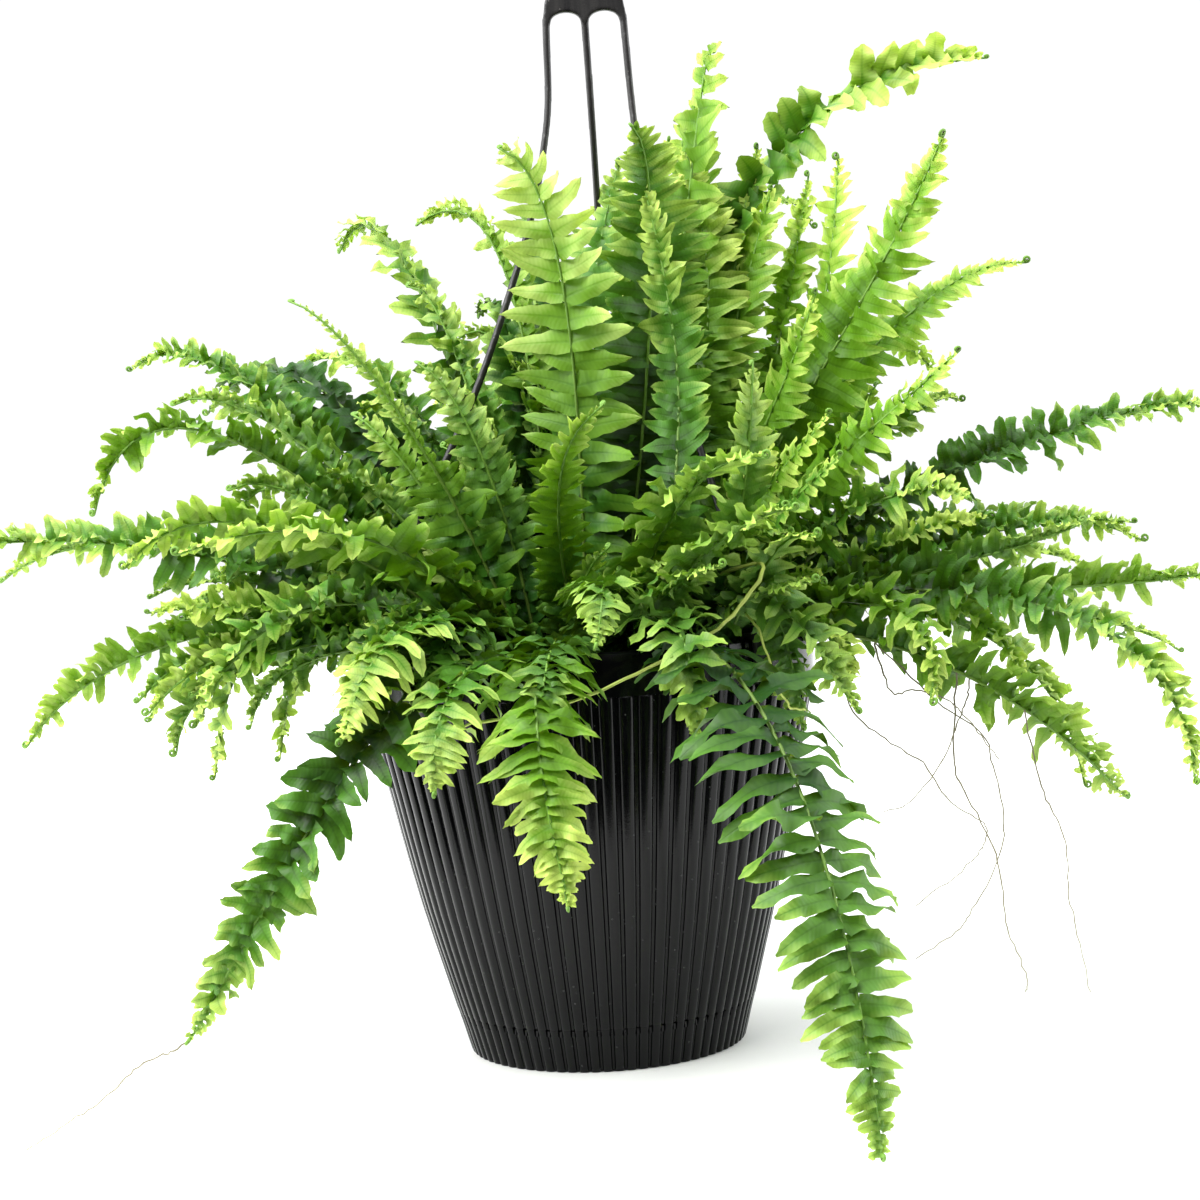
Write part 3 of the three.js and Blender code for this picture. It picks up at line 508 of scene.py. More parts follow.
# %% Moist peat and pale perlite
def crumbly(name, dark, light, scale, rough):
    """A dull, rough material, mottled clod by clod."""
    made, tree = fresh_material(name)
    place = add(tree, "TexCoord").outputs["Object"]
    clods = add(tree, "TexNoise", {"Vector": place}, Scale=scale, Detail=6.0, Roughness=0.7)
    colour = add(tree, "ValToRGB", {"Fac": clods.outputs["Fac"]}, stops=((0.3, dark), (0.7, light)))
    bump = add(tree, "Bump", {"Height": clods.outputs["Fac"]}, Strength=0.7, Distance=0.002)
    skin = add(tree, "BsdfPrincipled", {"Base Color": colour.outputs["Color"], "Normal": bump.outputs[0]},
               Roughness=rough)
    add(tree, "OutputMaterial", {"Surface": skin.outputs[0]})
    return made


# clods of 2.4 mm in the peat, pores of 1.1 mm in the perlite
peat = crumbly("moist peat and bark", "#120c08", "#35261a", 420.0, 0.95)
perlite = crumbly("expanded perlite", "#a8a294", "#d9d4c8", 900.0, 0.85)

# %% Model the plug of mix
SOIL_FOOT, SOIL_TOP, SOIL_HEAP, SOIL_RINGS = 27.6, 203.5, 2, 16
FOOT_RADIUS, TOP_RADIUS = 80.4, 119.6
soil = start(bpy.ops.mesh.primitive_circle_add, vertices=96, radius=FOOT_RADIUS * MM, fill_type="TRIFAN",
             location=(0, 0, SOIL_FOOT * MM))
pick(soil, lambda co: co.xy.length > 1 * MM)
bpy.ops.mesh.extrude_region_move(
    TRANSFORM_OT_translate={"value": (0, 0, (SOIL_TOP - SOIL_HEAP - SOIL_FOOT) * MM)})
bpy.ops.transform.resize(value=(TOP_RADIUS / FOOT_RADIUS,) * 2 + (1,), center_override=(0, 0, 0))
for k in range(SOIL_RINGS, 1, -1):
    bpy.ops.mesh.extrude_region_move(
        TRANSFORM_OT_translate={"value": (0, 0, SOIL_HEAP / SOIL_RINGS * MM)})
    bpy.ops.transform.resize(value=((k - 1) / k,) * 2 + (1,), center_override=(0, 0, 0))
bpy.ops.mesh.merge(type="CENTER")
bpy.ops.mesh.select_all(action="SELECT")
bpy.ops.mesh.normals_make_consistent(inside=False)
soil = finished(soil, "potting_mix", peat)
for v in soil.data.vertices:
    if v.co.z > 190 * MM and v.co.xy.length < 118 * MM:
        v.co.z += (2.2 * noise.noise(v.co * 90) + 1.2 * noise.noise(v.co * 260)) * MM
soften(soil, 80)
dress(soil, "potting_mix", "soil")

# %% Scatter the crumbs
CRUMBS, CRUMB_REACH, CRUMB_HEIGHT = 260, 112, 204.2
lumps = []
for k in range(3):
    lump = start(bpy.ops.mesh.primitive_ico_sphere_add, subdivisions=2, radius=1.0)
    bpy.ops.transform.resize(value=(1.0, 0.8, 0.55))
    lump = finished(lump, f"lump_{k}", peat)
    for v in lump.data.vertices:
        v.co *= 1 + 0.45 * noise.noise(v.co * 1.3 + Vector((7 * k, 0, 0)))
    lumps.append(lump)
crumbs = []
for k in range(CRUMBS):
    lump = lumps[k % 3].copy()
    lump.data = lump.data.copy()
    pale = k % 9 == 0
    lump.data.materials[0] = perlite if pale else peat
    bpy.context.scene.collection.objects.link(lump)
    far, turn = CRUMB_REACH * MM * math.sqrt(chance.random()), chance.uniform(0, 2 * math.pi)
    size = chance.uniform(1.0, 1.9) * MM if pale else chance.uniform(1.2, 3.6) * MM
    spot = Matrix.Translation((far * math.cos(turn), far * math.sin(turn), CRUMB_HEIGHT * MM))
    lump.matrix_world = spot @ Matrix.Rotation(chance.uniform(0, 6), 4, "Z") @ Matrix.Scale(size, 4)
    crumbs.append(lump)
crumbs = finished(join(crumbs[0], crumbs[1:], "crumbs"), "crumbs_of_mix", peat, perlite)
soften(crumbs, 80)
dress(crumbs, "potting_mix")
for lump in lumps:
    bpy.data.objects.remove(lump)

# %% [markdown]
# ## Fern green
# A living leaflet is thin and half lets the light through, so each leaf material mixes a waxy
# surface with a translucent one. A photograph of a leaf would give all leaflets the same spots.
# Here the colour follows the growth: dark near the crown, yellow-green towards a frond's tip and
# towards each leaflet's own point and rim. The dark near the crown and at each leaflet's base is
# also painted shade of the crowded middle, and the light tips and rims are also a painted
# highlight of light shining through. The fine veins run from the midrib to the rim. Two UV maps
# carry this: "blade" says where a point is on its leaflet, and "frond" how far along the frond
# the leaflet grows.


# %% Leaf skins
VEINS = 14  # side veins to a leaflet: one to 2.5 mm, where a real one has one to 1 mm
FULL_TURN = 6.283


def leaf_skin(name, deep, mid, fresh, through, spores=False):
    """A waxy green that half lets light through: deep in old parts, fresh in young ones, with painted
    shade near the crown and painted highlights at tips and rims.
    """
    made, tree = fresh_material(name)
    blade = add(tree, "SeparateXYZ", {0: add(tree, "UVMap", uv_map="blade").outputs[0]})
    frond = add(tree, "SeparateXYZ", {0: add(tree, "UVMap", uv_map="frond").outputs[0]})
    # clouds of lighter green, 13 mm wide
    clouds = add(tree, "TexNoise", {"Vector": add(tree, "TexCoord").outputs["Object"]},
                 Scale=75.0, Detail=3.0)
    # 0 on the midrib, 0.5 on the rim
    middle = add(tree, "Math", {0: blade.outputs["Y"], 1: 0.5}, operation="SUBTRACT")
    aside = add(tree, "Math", {0: middle.outputs[0]}, operation="ABSOLUTE").outputs[0]
    vein_turn = weighted_sum(tree, 0.0, (blade.outputs["X"], VEINS * FULL_TURN), (aside, -11.0))
    vein = add(tree, "Math", {0: vein_turn}, operation="SINE").outputs[0]
    midrib = add(tree, "MapRange", {"Value": aside},
                 From_Min=0.02, From_Max=0.07, To_Min=1.0, To_Max=0.0).outputs[0]
    # growth, with painted light in it: darker towards the crown and each leaflet's base as painted shade,
    # lighter at tips and rims as a painted highlight
    growth_and_painted_light = weighted_sum(tree, -0.85, (frond.outputs["X"], 1.0), (blade.outputs["X"], 0.44),
                          (aside, 0.24), (frond.outputs["Y"], 0.45), (clouds.outputs["Fac"], 0.5),
                          (vein, 0.02), (midrib, -0.08))
    green = add(tree, "ValToRGB", {"Fac": growth_and_painted_light},
                stops=((0.0, deep), (0.5, mid), (1.0, fresh))).outputs["Color"]
    if spores:  # two rows of brown dots beside the midrib
        row = add(tree, "Math", {0: aside, 1: 0.27, 2: 0.07}, operation="COMPARE")
        dots = add(tree, "MapRange", {"Value": vein},
                   From_Min=0.1, From_Max=0.5, To_Min=0.0, To_Max=0.85)
        spot = add(tree, "Math", {0: row.outputs[0], 1: dots.outputs[0]}, operation="MULTIPLY")
        green = add(tree, "MixRGB", {"Fac": spot.outputs[0], "Color1": green},
                    Color2=screen("#5a3a1c")).outputs[0]
    height = weighted_sum(tree, 0.0, (vein, 0.1), (midrib, -0.3), (clouds.outputs["Fac"], 0.4))
    bump = add(tree, "Bump", {"Height": height}, Strength=0.3, Distance=0.0008)
    wax = add(tree, "MapRange", {"Value": clouds.outputs["Fac"]},
              From_Min=0.3, From_Max=0.7, To_Min=0.36, To_Max=0.55)
    surface = add(tree, "BsdfPrincipled", {"Base Color": green, "Roughness": wax.outputs[0],
                                           "Normal": bump.outputs[0]}, IOR=1.45, Specular_IOR_Level=0.4)
    lit = add(tree, "MixRGB", {"Color1": green}, Fac=0.35, Color2=screen("#d9f24a"))
    glow = add(tree, "BsdfTranslucent", {"Color": lit.outputs[0], "Normal": bump.outputs[0]})
    both = add(tree, "MixShader", {1: surface.outputs[0], 2: glow.outputs[0]}, Fac=through)
    add(tree, "OutputMaterial", {"Surface": both.outputs[0]})
    return made


# %% Each age of leaf has one skin for its upper side and one for below
young = (leaf_skin("young fern leaflet", "#245008", "#76a82a", "#e6f484", 0.44),
         leaf_skin("young fern leaflet from below", "#386a16", "#80ae34", "#e0f090", 0.44))
grown = (leaf_skin("grown fern leaflet", "#113206", "#568e28", "#dcf07c", 0.38),
         leaf_skin("grown fern leaflet from below", "#285618", "#6c9c3c", "#d6ec82", 0.38))
old = (leaf_skin("old fern leaflet", "#0b2406", "#376a20", "#b4d868", 0.3),
       leaf_skin("old fern leaflet with spores below", "#1e4014", "#4c7c32", "#b0cc6e", 0.26,
                 spores=True))
# a darker copy of the grown skin for fronds that hang in front of the pot: its colour is painted shade of
# the pot, not an age of leaf
shaded = (leaf_skin("fern leaflet in the pot's shade", "#1c4416", "#5c8c32", "#c0de68", 0.36), grown[1])


# %% Stems and runners
def stem_skin(name, foot, tip, rough):
    """The colour of the foot turns to that of the tip, and scales 2 mm long roughen the skin."""
    made, tree = fresh_material(name)
    frond = add(tree, "SeparateXYZ", {0: add(tree, "UVMap", uv_map="frond").outputs[0]})
    scales = add(tree, "TexNoise", {"Vector": add(tree, "TexCoord").outputs["Object"]},
                 Scale=520.0, Detail=3.0)
    along = weighted_sum(tree, -0.15, (frond.outputs["X"], 0.9), (scales.outputs["Fac"], 0.4))
    colour = add(tree, "ValToRGB", {"Fac": along}, stops=((0.0, foot), (1.0, tip)))
    bump = add(tree, "Bump", {"Height": scales.outputs["Fac"]}, Strength=0.6, Distance=0.0006)
    skin = add(tree, "BsdfPrincipled", {"Base Color": colour.outputs["Color"], "Normal": bump.outputs[0]},
               Roughness=rough)
    add(tree, "OutputMaterial", {"Surface": skin.outputs[0]})
    return made


stalk_skin = stem_skin("scaly fern stalk", "#45451b", "#6c9a2e", 0.55)
runner_skin = stem_skin("pale fern runner", "#93a040", "#c3d468", 0.6)
root_skin = stem_skin("dry hair root", "#716b55", "#9c967a", 0.8)

# %% [markdown]
# ## One leaflet
# A leaflet of this fern is a small sickle with a straight base, a rounded ear on the side towards
# the frond's tip, and a finely toothed rim. It is modelled once and copied thousands of times, so
# it may have only a few dozen faces. A grid of 9 by 4 faces is squeezed column by column to that
# outline. A copy of the sheet, turned over and pressed down between its rims, closes it from
# below, so that each leaflet is a thin lens of 72 faces, and its rim stays sharp. The left and
# right of a frond mirror each other. Two shapes are pointed, as on flat fronds, and one is blunt,
# as on those that are folded up.

# %% The outline of a leaflet, for a length of 1
COLUMNS, ROWS = 9, 4
LENS, TOOTH = 0.03, 0.05  # how thick it is, and how deep its teeth are for its width
EAR_AT, EAR_LONG = 0.14, 0.15
POINT_BACK = 0.045  # the corners at its point are drawn back, which rounds it


def half_width(x, taper, blunt):
    """Half the width at x, from 0 at the base to 1 at the point, for a width of 1."""
    return 0.5 * min(1.0, 0.8 + 2.5 * x) * (1 - taper * x) * max((1 - x ** 3) ** (0.65 - blunt), blunt)


def squeezed_sheet(ear, sickle, taper, blunt, hand):
    """A flat grid in edit mode, squeezed column by column to the outline."""
    leaf = start(bpy.ops.mesh.primitive_grid_add, x_subdivisions=COLUMNS, y_subdivisions=ROWS, size=1,
                 location=(0.5, 0, 0), calc_uvs=True)
    for k in range(COLUMNS + 1):
        x = k / COLUMNS
        for side in (-1, 1):
            scale = 2 * half_width(x, taper, blunt)
            if side == hand:
                scale *= 1 + ear * math.exp(-((x - EAR_AT) / EAR_LONG) ** 2)
            if 0 < k < COLUMNS:
                scale *= 1 + TOOTH * (-1) ** (k + (side == hand))
            pick(leaf, lambda co: abs(co.x - x) < 0.01 and co.y * side > 1e-4)
            bpy.ops.transform.resize(value=(1, scale, 1), center_override=(x, 0, 0))
        pick(leaf, lambda co: abs(co.x - x) < 0.01)
        bpy.ops.transform.translate(value=(0, hand * sickle * x * x, 0))
    pick(leaf, lambda co: co.x > 0.99 and abs(co.y - hand * sickle) > 0.7 * half_width(1, taper, blunt))
    bpy.ops.transform.translate(value=(-POINT_BACK, 0, 0))
    return leaf


# %% Close the sheet from below
def leaflet_shape(name, *form):
    """One leaflet as a thin lens, with skins above and below and the two UV maps."""
    leaf = squeezed_sheet(*form)
    bpy.ops.mesh.select_all(action="SELECT")
    bpy.ops.mesh.duplicate()
    bpy.ops.mesh.flip_normals()
    shape = bmesh.from_edit_mesh(leaf.data)
    for v in shape.verts:
        v.select = v.select and not v.is_boundary
    shape.select_flush(True)
    bmesh.update_edit_mesh(leaf.data)
    bpy.ops.transform.translate(value=(0, 0, -LENS))
    bpy.ops.mesh.select_all(action="SELECT")
    bpy.ops.mesh.remove_doubles(threshold=1e-4)
    bpy.ops.mesh.faces_shade_smooth()
    shape = bmesh.from_edit_mesh(leaf.data)
    shape.normal_update()
    for edge in shape.edges:  # a sharp rim, so that the blade isn't shaded like a pillow
        edge.smooth = edge.link_faces[0].normal.z * edge.link_faces[1].normal.z > 0
    leaf = finished(leaf, name, *grown)
    leaf.data.uv_layers[0].name = "blade"
    leaf.data.uv_layers.new(name="frond")
    for face in leaf.data.polygons:
        face.material_index = 0 if face.normal.z > 0 else 1
    return leaf


# %% Three kinds, each for both hands
# how big the ear is, how far the point is swept aside, how much the blade tapers, how blunt it is
KINDS = [(0.22, 0.24, 0.3, 0.06), (0.14, 0.34, 0.4, 0.04), (0.24, 0.12, 0.06, 0.28)]
leaflets = {(k, hand): leaflet_shape(f"leaflet_{k}_{'left' if hand > 0 else 'right'}", *KINDS[k], hand)
            for k in range(len(KINDS)) for hand in (-1, 1)}
flat = {key: np.array([v.co for v in leaf.data.vertices]) for key, leaf in leaflets.items()}
print("a leaflet has", len(leaflets[0, 1].data.polygons), "faces and", len(flat[0, 1]), "points")

# %% [markdown]
# ## A frond's line, from the CAD
# Each frond follows its CAD solid. The lines could be typed in again, but then the dressed plant
# might drift away from its solids, so they are read from them. The corners of a solid's stem lie
# further apart than the two faces of its leaflets, which tells them apart. A walk from the foot
# to the tip, two corners at a time, gives the middle line, how far the blade is turned about it,
# and the length of the longest leaflet.

# %% Smooth steps and smooth lines
def smooth(value, low, high):
    """Rises gently from 0 at low to 1 at high."""
    t = min(max((value - low) / (high - low), 0), 1)
    return t * t * (3 - 2 * t)


def smooth_line(points, steps):
    """Points of a smooth line through the given ones (Catmull-Rom)."""
    spots = [Vector(p) for p in points]
    spots = [spots[0] * 2 - spots[1]] + spots + [spots[-1] * 2 - spots[-2]]
    line = []
    for a, b, c, d in zip(spots, spots[1:], spots[2:], spots[3:]):
        for k in range(steps):
            t = k / steps
            line.append(0.5 * (b * 2 + (c - a) * t + (a * 2 - b * 5 + c * 4 - d) * t * t
                               + (b * 3 - a - c * 3 + d) * t ** 3))
    return line + [spots[-2]]


# %% The middle line of a frond
# no line may pass the pot's wall: its inside and outside, its top and the mix, with some room
WALL_INSIDE, WALL_OUTSIDE, WALL_TOP, MIX_NEAR = 110 * MM, 142 * MM, 228 * MM, 198 * MM


class Stalk:
    """A line in metres, and how far the blade is turned about it."""

    def __init__(self, line, turn=0.0):
        self.line, self.turn = line, turn
        self.lengths = np.cumsum([0] + [(b - a).length for a, b in zip(line, line[1:])])
        self.whole = self.lengths[-1]
        heading = line[-1] - line[0]
        self.sideways = Vector((-heading.y, heading.x, 0)).normalized()

    def at(self, length):
        """The point at a length along the line."""
        return Vector([np.interp(length, self.lengths, axis) for axis in zip(*self.line)])

    def frame(self, length):
        """The directions along the stalk, across the blade and up from it."""
        along = (self.at(length + 2 * MM) - self.at(length - 2 * MM)).normalized()
        across = (self.sideways - along * self.sideways.dot(along)).normalized()
        across.rotate(Matrix.Rotation(self.turn * smooth(length / self.whole, 0.1, 0.5), 3, along))
        return along, across, along.cross(across)

    def sibling(self, swing, lift, size):
        """A smaller line beside this one, lifted at its foot and swung about the pot's axis."""
        swung, foot = Matrix.Rotation(swing, 3, "Z"), self.line[0]
        lifted = Matrix.Rotation(-lift, 3, self.sideways)
        return Stalk([swung @ (foot + lifted @ (p - foot) * size) for p in self.line], self.turn)

    def is_free(self):
        """Whether the line keeps clear of the pot's wall."""
        inner = [p for p in self.line[12:] if p.xy.length < WALL_OUTSIDE]
        return not any(p.z < MIX_NEAR or p.z < WALL_TOP and p.xy.length > WALL_INSIDE for p in inner)


# %% Read a frond from its solid
STEM_GAP = 1.2 * MM  # a CAD leaflet's faces are 0.9 mm apart, a stem's corners 1.4 mm or more
FOOT_NEAR = Vector((0, 0, 170 * MM))  # of all ends, the feet are nearest to this


def read_frond(solid):
    """The stalk of a CAD frond, and the length of its longest leaflet."""
    corners = np.unique(np.round([v.co for v in solid.data.vertices], 6), axis=0)
    gaps = np.linalg.norm(corners[:, None] - corners, axis=2)
    np.fill_diagonal(gaps, 1)
    on_stem = gaps.min(axis=1) > STEM_GAP
    here, left, pairs = FOOT_NEAR, [Vector(p) for p in corners[on_stem]], []
    while left:
        one = min(left, key=lambda p: (p - here).length)
        left.remove(one)
        other = min(left, key=lambda p: (p - one).length)
        left.remove(other)
        here = (one + other) / 2
        pairs.append((here, (one - other).normalized()))
    middles = [place for place, _ in pairs]
    spots = [(a + b) / 2 for a, b in zip(middles, middles[1:])] + [middles[-1]]
    stalk = Stalk(smooth_line(spots, 6))
    turns = []
    outer = len(pairs) // 2
    for before, (_, rise), after in zip(middles[outer:], pairs[outer + 1:], middles[outer + 2:]):
        along = (after - before).normalized()
        across = (stalk.sideways - along * stalk.sideways.dot(along)).normalized()
        angle = math.atan2(-rise.dot(across), rise.dot(along.cross(across)))
        turns.append((angle + math.pi / 2) % math.pi - math.pi / 2)
    stalk.turn = float(np.median(turns))
    reach = np.linalg.norm(corners[~on_stem][:, None] - np.array(stalk.line), axis=2).min(axis=1).max()
    return stalk, float(reach)


# %% [markdown]
# ## Leaflets on a stalk
# The leaflets stand closer than the CAD's, as on the real plant: their distance shrinks with
# their length towards the tip. An array along a curve could place them, but all would be alike.
# Each one here is a copy that is bent, folded along its midrib, ruffled, and let down a little by
# its weight. Each is also turned about its length, so that it lies over the one behind it like a
# shingle. The upright fronds are flat. On those that arch out sideways both rows fold up, so that
# a frond looks like a rope.

# %% How fronds look
# degrees that the leaflets are folded up from the blade, and by how much that varies; how far
# they lean to the tip, are bent down along their length, ruffled at their rims and folded along
# their midribs; how far apart they are, how wide for that; their kinds; and the power that keeps
# them long towards the tip
LOOKS = {
    "flat": (9, 9, 0.1, 0.6, 0.22, 0.08, 1.0, 1.25, (0, 1), 4),
    "dense": (8, 8, 0.04, 0.7, 0.22, 0.1, 0.68, 1.35, (0, 1), 5),
    "loose": (7, 7, 0.12, 0.6, 0.2, 0.08, 1.1, 1.08, (0, 1), 6),
    "sparse": (5, 8, 0.05, 0.5, 0.2, 0.06, 1.8, 0.85, (0,), 12),
    "ladder": (4, 9, -0.12, 0.8, 0.36, 0.1, 0.9, 1.12, (2,), 3.2),
    "hanging": (8, 13, 0.0, 1.0, 0.34, 0.12, 0.64, 1.45, (0, 0, 2), 4),
    "arched": (22, 17, 0.1, 1.0, 0.32, 0.16, 1.0, 1.3, (0, 2), 4),
    "folded": (34, 24, 0.15, 1.0, 0.34, 0.16, 1.1, 1.2, (0, 2), 4),
    "rope": (52, 20, 0.1, 1.2, 0.36, 0.16, 0.8, 1.28, (0, 2, 2), 4),
    "crest": (62, 14, 0.05, 0.7, 0.26, 0.12, 1.5, 1.3, (2,), 10),
}
print(len(LOOKS), "looks:", *LOOKS)


# %% Bend one leaflet and set it on its stalk
def envelope(u, full):
    """How long a leaflet is, as a share of the longest, at u from the first leaflet to the tip."""
    return max(0.14, (0.55 + 0.45 * smooth(u, 0, 0.25)) * (1 - u ** full) ** 0.8)


def bent_leaflet(points, length, width, curl, ruffle, vee, twist, hook, wave, phase):
    """The points of a leaflet, from its flat shape to metres: ruffled, folded, hooked, twisted and
    curled down."""
    x, y, z = points[:, 0], points[:, 1] * width, points[:, 2] * width
    rim = np.abs(y) / width * 2
    waves = np.sin(FULL_TURN * (x * wave + phase) + 2.2 * np.sign(y))
    z = z + np.abs(y) * vee + ruffle * width * rim ** 1.3 * waves
    turn, y = twist * x, y + hook * width * x * x
    y, z = y * np.cos(turn) - z * np.sin(turn), y * np.sin(turn) + z * np.cos(turn)
    run, fall = np.sin(curl * x) / curl * length, (1 - np.cos(curl * x)) / curl * length
    return np.stack([run + z * np.sin(curl * x), y, z * np.cos(curl * x) - fall], axis=1)


def add_leaflet(kind, hand, shape, origin, axes, droop, growth_and_painted_light, draw, skins):
    """One copy of a leaflet with a mesh of its own, set on its stalk."""
    mesh = leaflets[kind, hand].data.copy()
    out, along, up = axes
    placed = shape @ np.array([out, along, up]) + origin
    placed[:, 2] -= droop * (shape[:, 0] ** 2 + shape[:, 2] ** 2)
    mesh.vertices.foreach_set("co", placed.astype(np.float32).ravel())
    mesh.uv_layers["frond"].data.foreach_set("uv", [growth_and_painted_light, draw] * len(mesh.loops))
    mesh.materials[0], mesh.materials[1] = skins
    copy = bpy.data.objects.new("leaflet", mesh)
    bpy.context.scene.collection.objects.link(copy)
    return copy


# %% The stalk and its coiled end
def stalk_mesh(points, thicks, growths, skin):
    """A tapered tube through points in metres, with the two UV maps of the leaflets."""
    tube = rod([p / MM for p in points], 1.0, sides=1, radii=thicks, kind="POLY")
    around = len(tube.data.vertices) // len(points)
    for layer in list(tube.data.uv_layers):
        tube.data.uv_layers.remove(layer)
    tube.data.uv_layers.new(name="blade")
    frond = tube.data.uv_layers.new(name="frond")
    for loop in tube.data.loops:
        frond.data[loop.index].uv = (growths[min(loop.vertex_index // around, len(points) - 1)], 0.5)
    tube.data.materials.clear()
    tube.data.materials.append(skin)
    bpy.ops.object.shade_smooth()
    return tube


def coil(stalk, size):
    """Points of the curled-up end of a frond, which unrolls as it grows."""
    along, _, up = stalk.frame(stalk.whole)
    here, points = stalk.at(stalk.whole), []
    for k in range(1, 13):
        turn, radius = 2 * math.pi * 1.2 * k / 12, size * (1 - 0.05 * k)
        points.append(here + along * radius * math.sin(turn) + up * (size - radius * math.cos(turn)))
    return points


# %% A whole frond
BARE = 0.17  # share of the stalk, from its foot, that carries no leaflets
STALK_FOOT, STALK_TIP, COIL_THICK = 2.4, 1.2, 1.9  # thickness in millimetres
SPACING, SPACING_SHARE = 3.2 * MM, 0.2  # distance of leaflets, and what their length adds to it
SHINGLE = math.radians(13)  # each leaflet lies over the one behind it
STRAY = 0.1  # share of the leaflets on a folded frond that hang out of line
WIDEST = 0.85  # for a leaflet's length


def leaflets_of(stalk, hand, longest, look, skins, tint, unfurling):
    """The leaflets on one side of a stalk."""
    fold, spread, sweep, curl, ruffle, vee, apart, broad, kinds, full = LOOKS[look]
    made, length = [], BARE * stalk.whole + (4 * MM if hand > 0 else 0)
    while length < stalk.whole - 2 * MM:
        share = length / stalk.whole
        u = (share - BARE) / (1 - BARE)
        size = longest * envelope(u, full) * chance.uniform(0.82, 1.07)
        if unfurling:
            size *= 1 - 0.8 * smooth(u, 0.3, 0.5)
        pitch = apart * (SPACING + SPACING_SHARE * size)
        along, across, up = stalk.frame(length)
        lift = math.radians(chance.gauss(fold, spread)) * smooth(share, 0.08, 0.3)
        if look in ("rope", "crest") and chance.random() < STRAY:
            lift = math.radians(chance.uniform(-60, 0))
        out = across * hand * math.cos(lift) + up * math.sin(lift)
        out = (out + along * (sweep + 0.3 * u * u + chance.gauss(0, 0.07))).normalized()
        lengthwise = (along - out * along.dot(out)).normalized() * -hand
        lengthwise.rotate(Matrix.Rotation(-hand * chance.gauss(SHINGLE, SHINGLE / 3), 3, out))
        kind = chance.choice(kinds)
        width = min(pitch * broad * chance.uniform(0.9, 1.1), WIDEST * size)
        shape = bent_leaflet(flat[kind, -hand], size, width, curl * chance.uniform(0.3, 1.4),
                             ruffle * chance.uniform(0.4, 1.3), vee * chance.uniform(0.3, 1.3),
                             chance.gauss(0, 0.9 * ruffle + 0.08), chance.gauss(0, 0.28),
                             chance.uniform(1.1, 2.2), chance.random())
        axes = (out, lengthwise, out.cross(lengthwise))
        made.append(add_leaflet(kind, -hand, shape, np.array(stalk.at(length)), axes,
                                chance.uniform(1.5, 4.5), u, 0.6 * tint + 0.4 * chance.random(), skins))
        length += pitch * chance.uniform(0.93, 1.07)
    return made


def build_frond(name, stalk, longest, look, skins, unfurling=False):
    """A stalk with its coiled end and both rows of leaflets, as one piece."""
    steps = max(14, int(stalk.whole / (9 * MM)))
    shares = [k / steps for k in range(steps + 1)]
    tail = coil(stalk, chance.uniform(1.1, 2.4) * MM)
    points = [stalk.at(stalk.whole * share) for share in shares] + tail
    thicks = [STALK_FOOT + (STALK_TIP - STALK_FOOT) * share for share in shares]
    thicks += [min(STALK_TIP + 0.12 * k, COIL_THICK) for k in range(len(tail))]
    tint = chance.random()
    leaves = [leaf for hand in (1, -1)
              for leaf in leaflets_of(stalk, hand, longest, look, skins, tint, unfurling)]
    return join(stalk_mesh(points, thicks, shares + [1.0] * len(tail), stalk_skin), leaves, name)


# %% Which frond looks how
GROUPS = {"crown": ("flat", [young]), "right": ("rope", [grown, young, grown]),
          "left": ("rope", [young, grown, grown]), "front": ("hanging", [grown]),
          "back": ("arched", [grown, old])}
EXCEPTIONS = {"crown_01": ("sparse", young), "crown_02": ("crest", grown), "crown_06": ("loose", young),
              "crown_07": ("dense", (grown[0], grown[0])), "crown_09": ("rope", young),
              "crown_10": ("rope", young), "crown_11": ("rope", grown), "crown_12": ("loose", young),
              "crown_13": ("rope", grown), "left_09": ("arched", young), "front_01": ("arched", young),
              "front_03": ("folded", grown), "front_04": ("hanging", young),
              "front_05": ("hanging", grown), "front_06": ("hanging", shaded),
              "front_07": ("ladder", shaded), "front_08": ("arched", shaded),
              "front_09": ("arched", shaded), "front_10": ("arched", shaded)}
# the photograph shows these with longer leaflets than the CAD's
LONGER = {"crown_01": 1.15, "crown_07": 1.2, "crown_12": 1.3, "front_02": 1.15, "front_04": 1.2,
          "front_05": 1.2, "front_07": 1.2, "front_08": 1.15}
UNFURLING = "crown_12"  # its outer half is still nearly bare
print(len(EXCEPTIONS), "fronds don't look like their group")

# %% Grow the fronds
fronds = {name.removeprefix("frond_"): read_frond(solid)
          for name, solid in sorted(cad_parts.items()) if name.startswith("frond_")}
for number, (name, (stalk, reach)) in enumerate(fronds.items()):
    group_look, choices = GROUPS[name.split("_")[0]]
    look, skins = EXCEPTIONS.get(name, (group_look, choices[number % len(choices)]))
    longest = reach * LONGER.get(name, 1)
    frond = build_frond("fern_" + name, stalk, longest, look, skins, name == UNFURLING)
    dress(frond, "leaf", "frond_" + name)

# %% [markdown]
# ## Young fronds
# A fern this old sends up new fronds between the grown ones. They fill the middle, so that the
# mix is hardly seen. To place each by hand would take long and look too even, so most are grown
# along a smaller line beside one of the CAD's, and each round of them on one side is one piece. A
# few more are placed one by one where the photograph shows one, and six hang over the rim behind.

# %% Grow the young fronds
# how many go beside each frond of a group, how long they are beside it, and which skins they take
SMALLER = {"crown": (3, 0.4, 0.78, [grown, grown, young]),
           "right": (3, 0.4, 0.8, [grown, young, grown]),
           "left": (3, 0.4, 0.8, [grown, young, grown]),
           "front": (3, 0.45, 0.85, [grown, shaded]),
           "back": (2, 0.5, 0.85, [grown, old])}
TRIES = 5  # before one that would pass through the pot's wall is given up
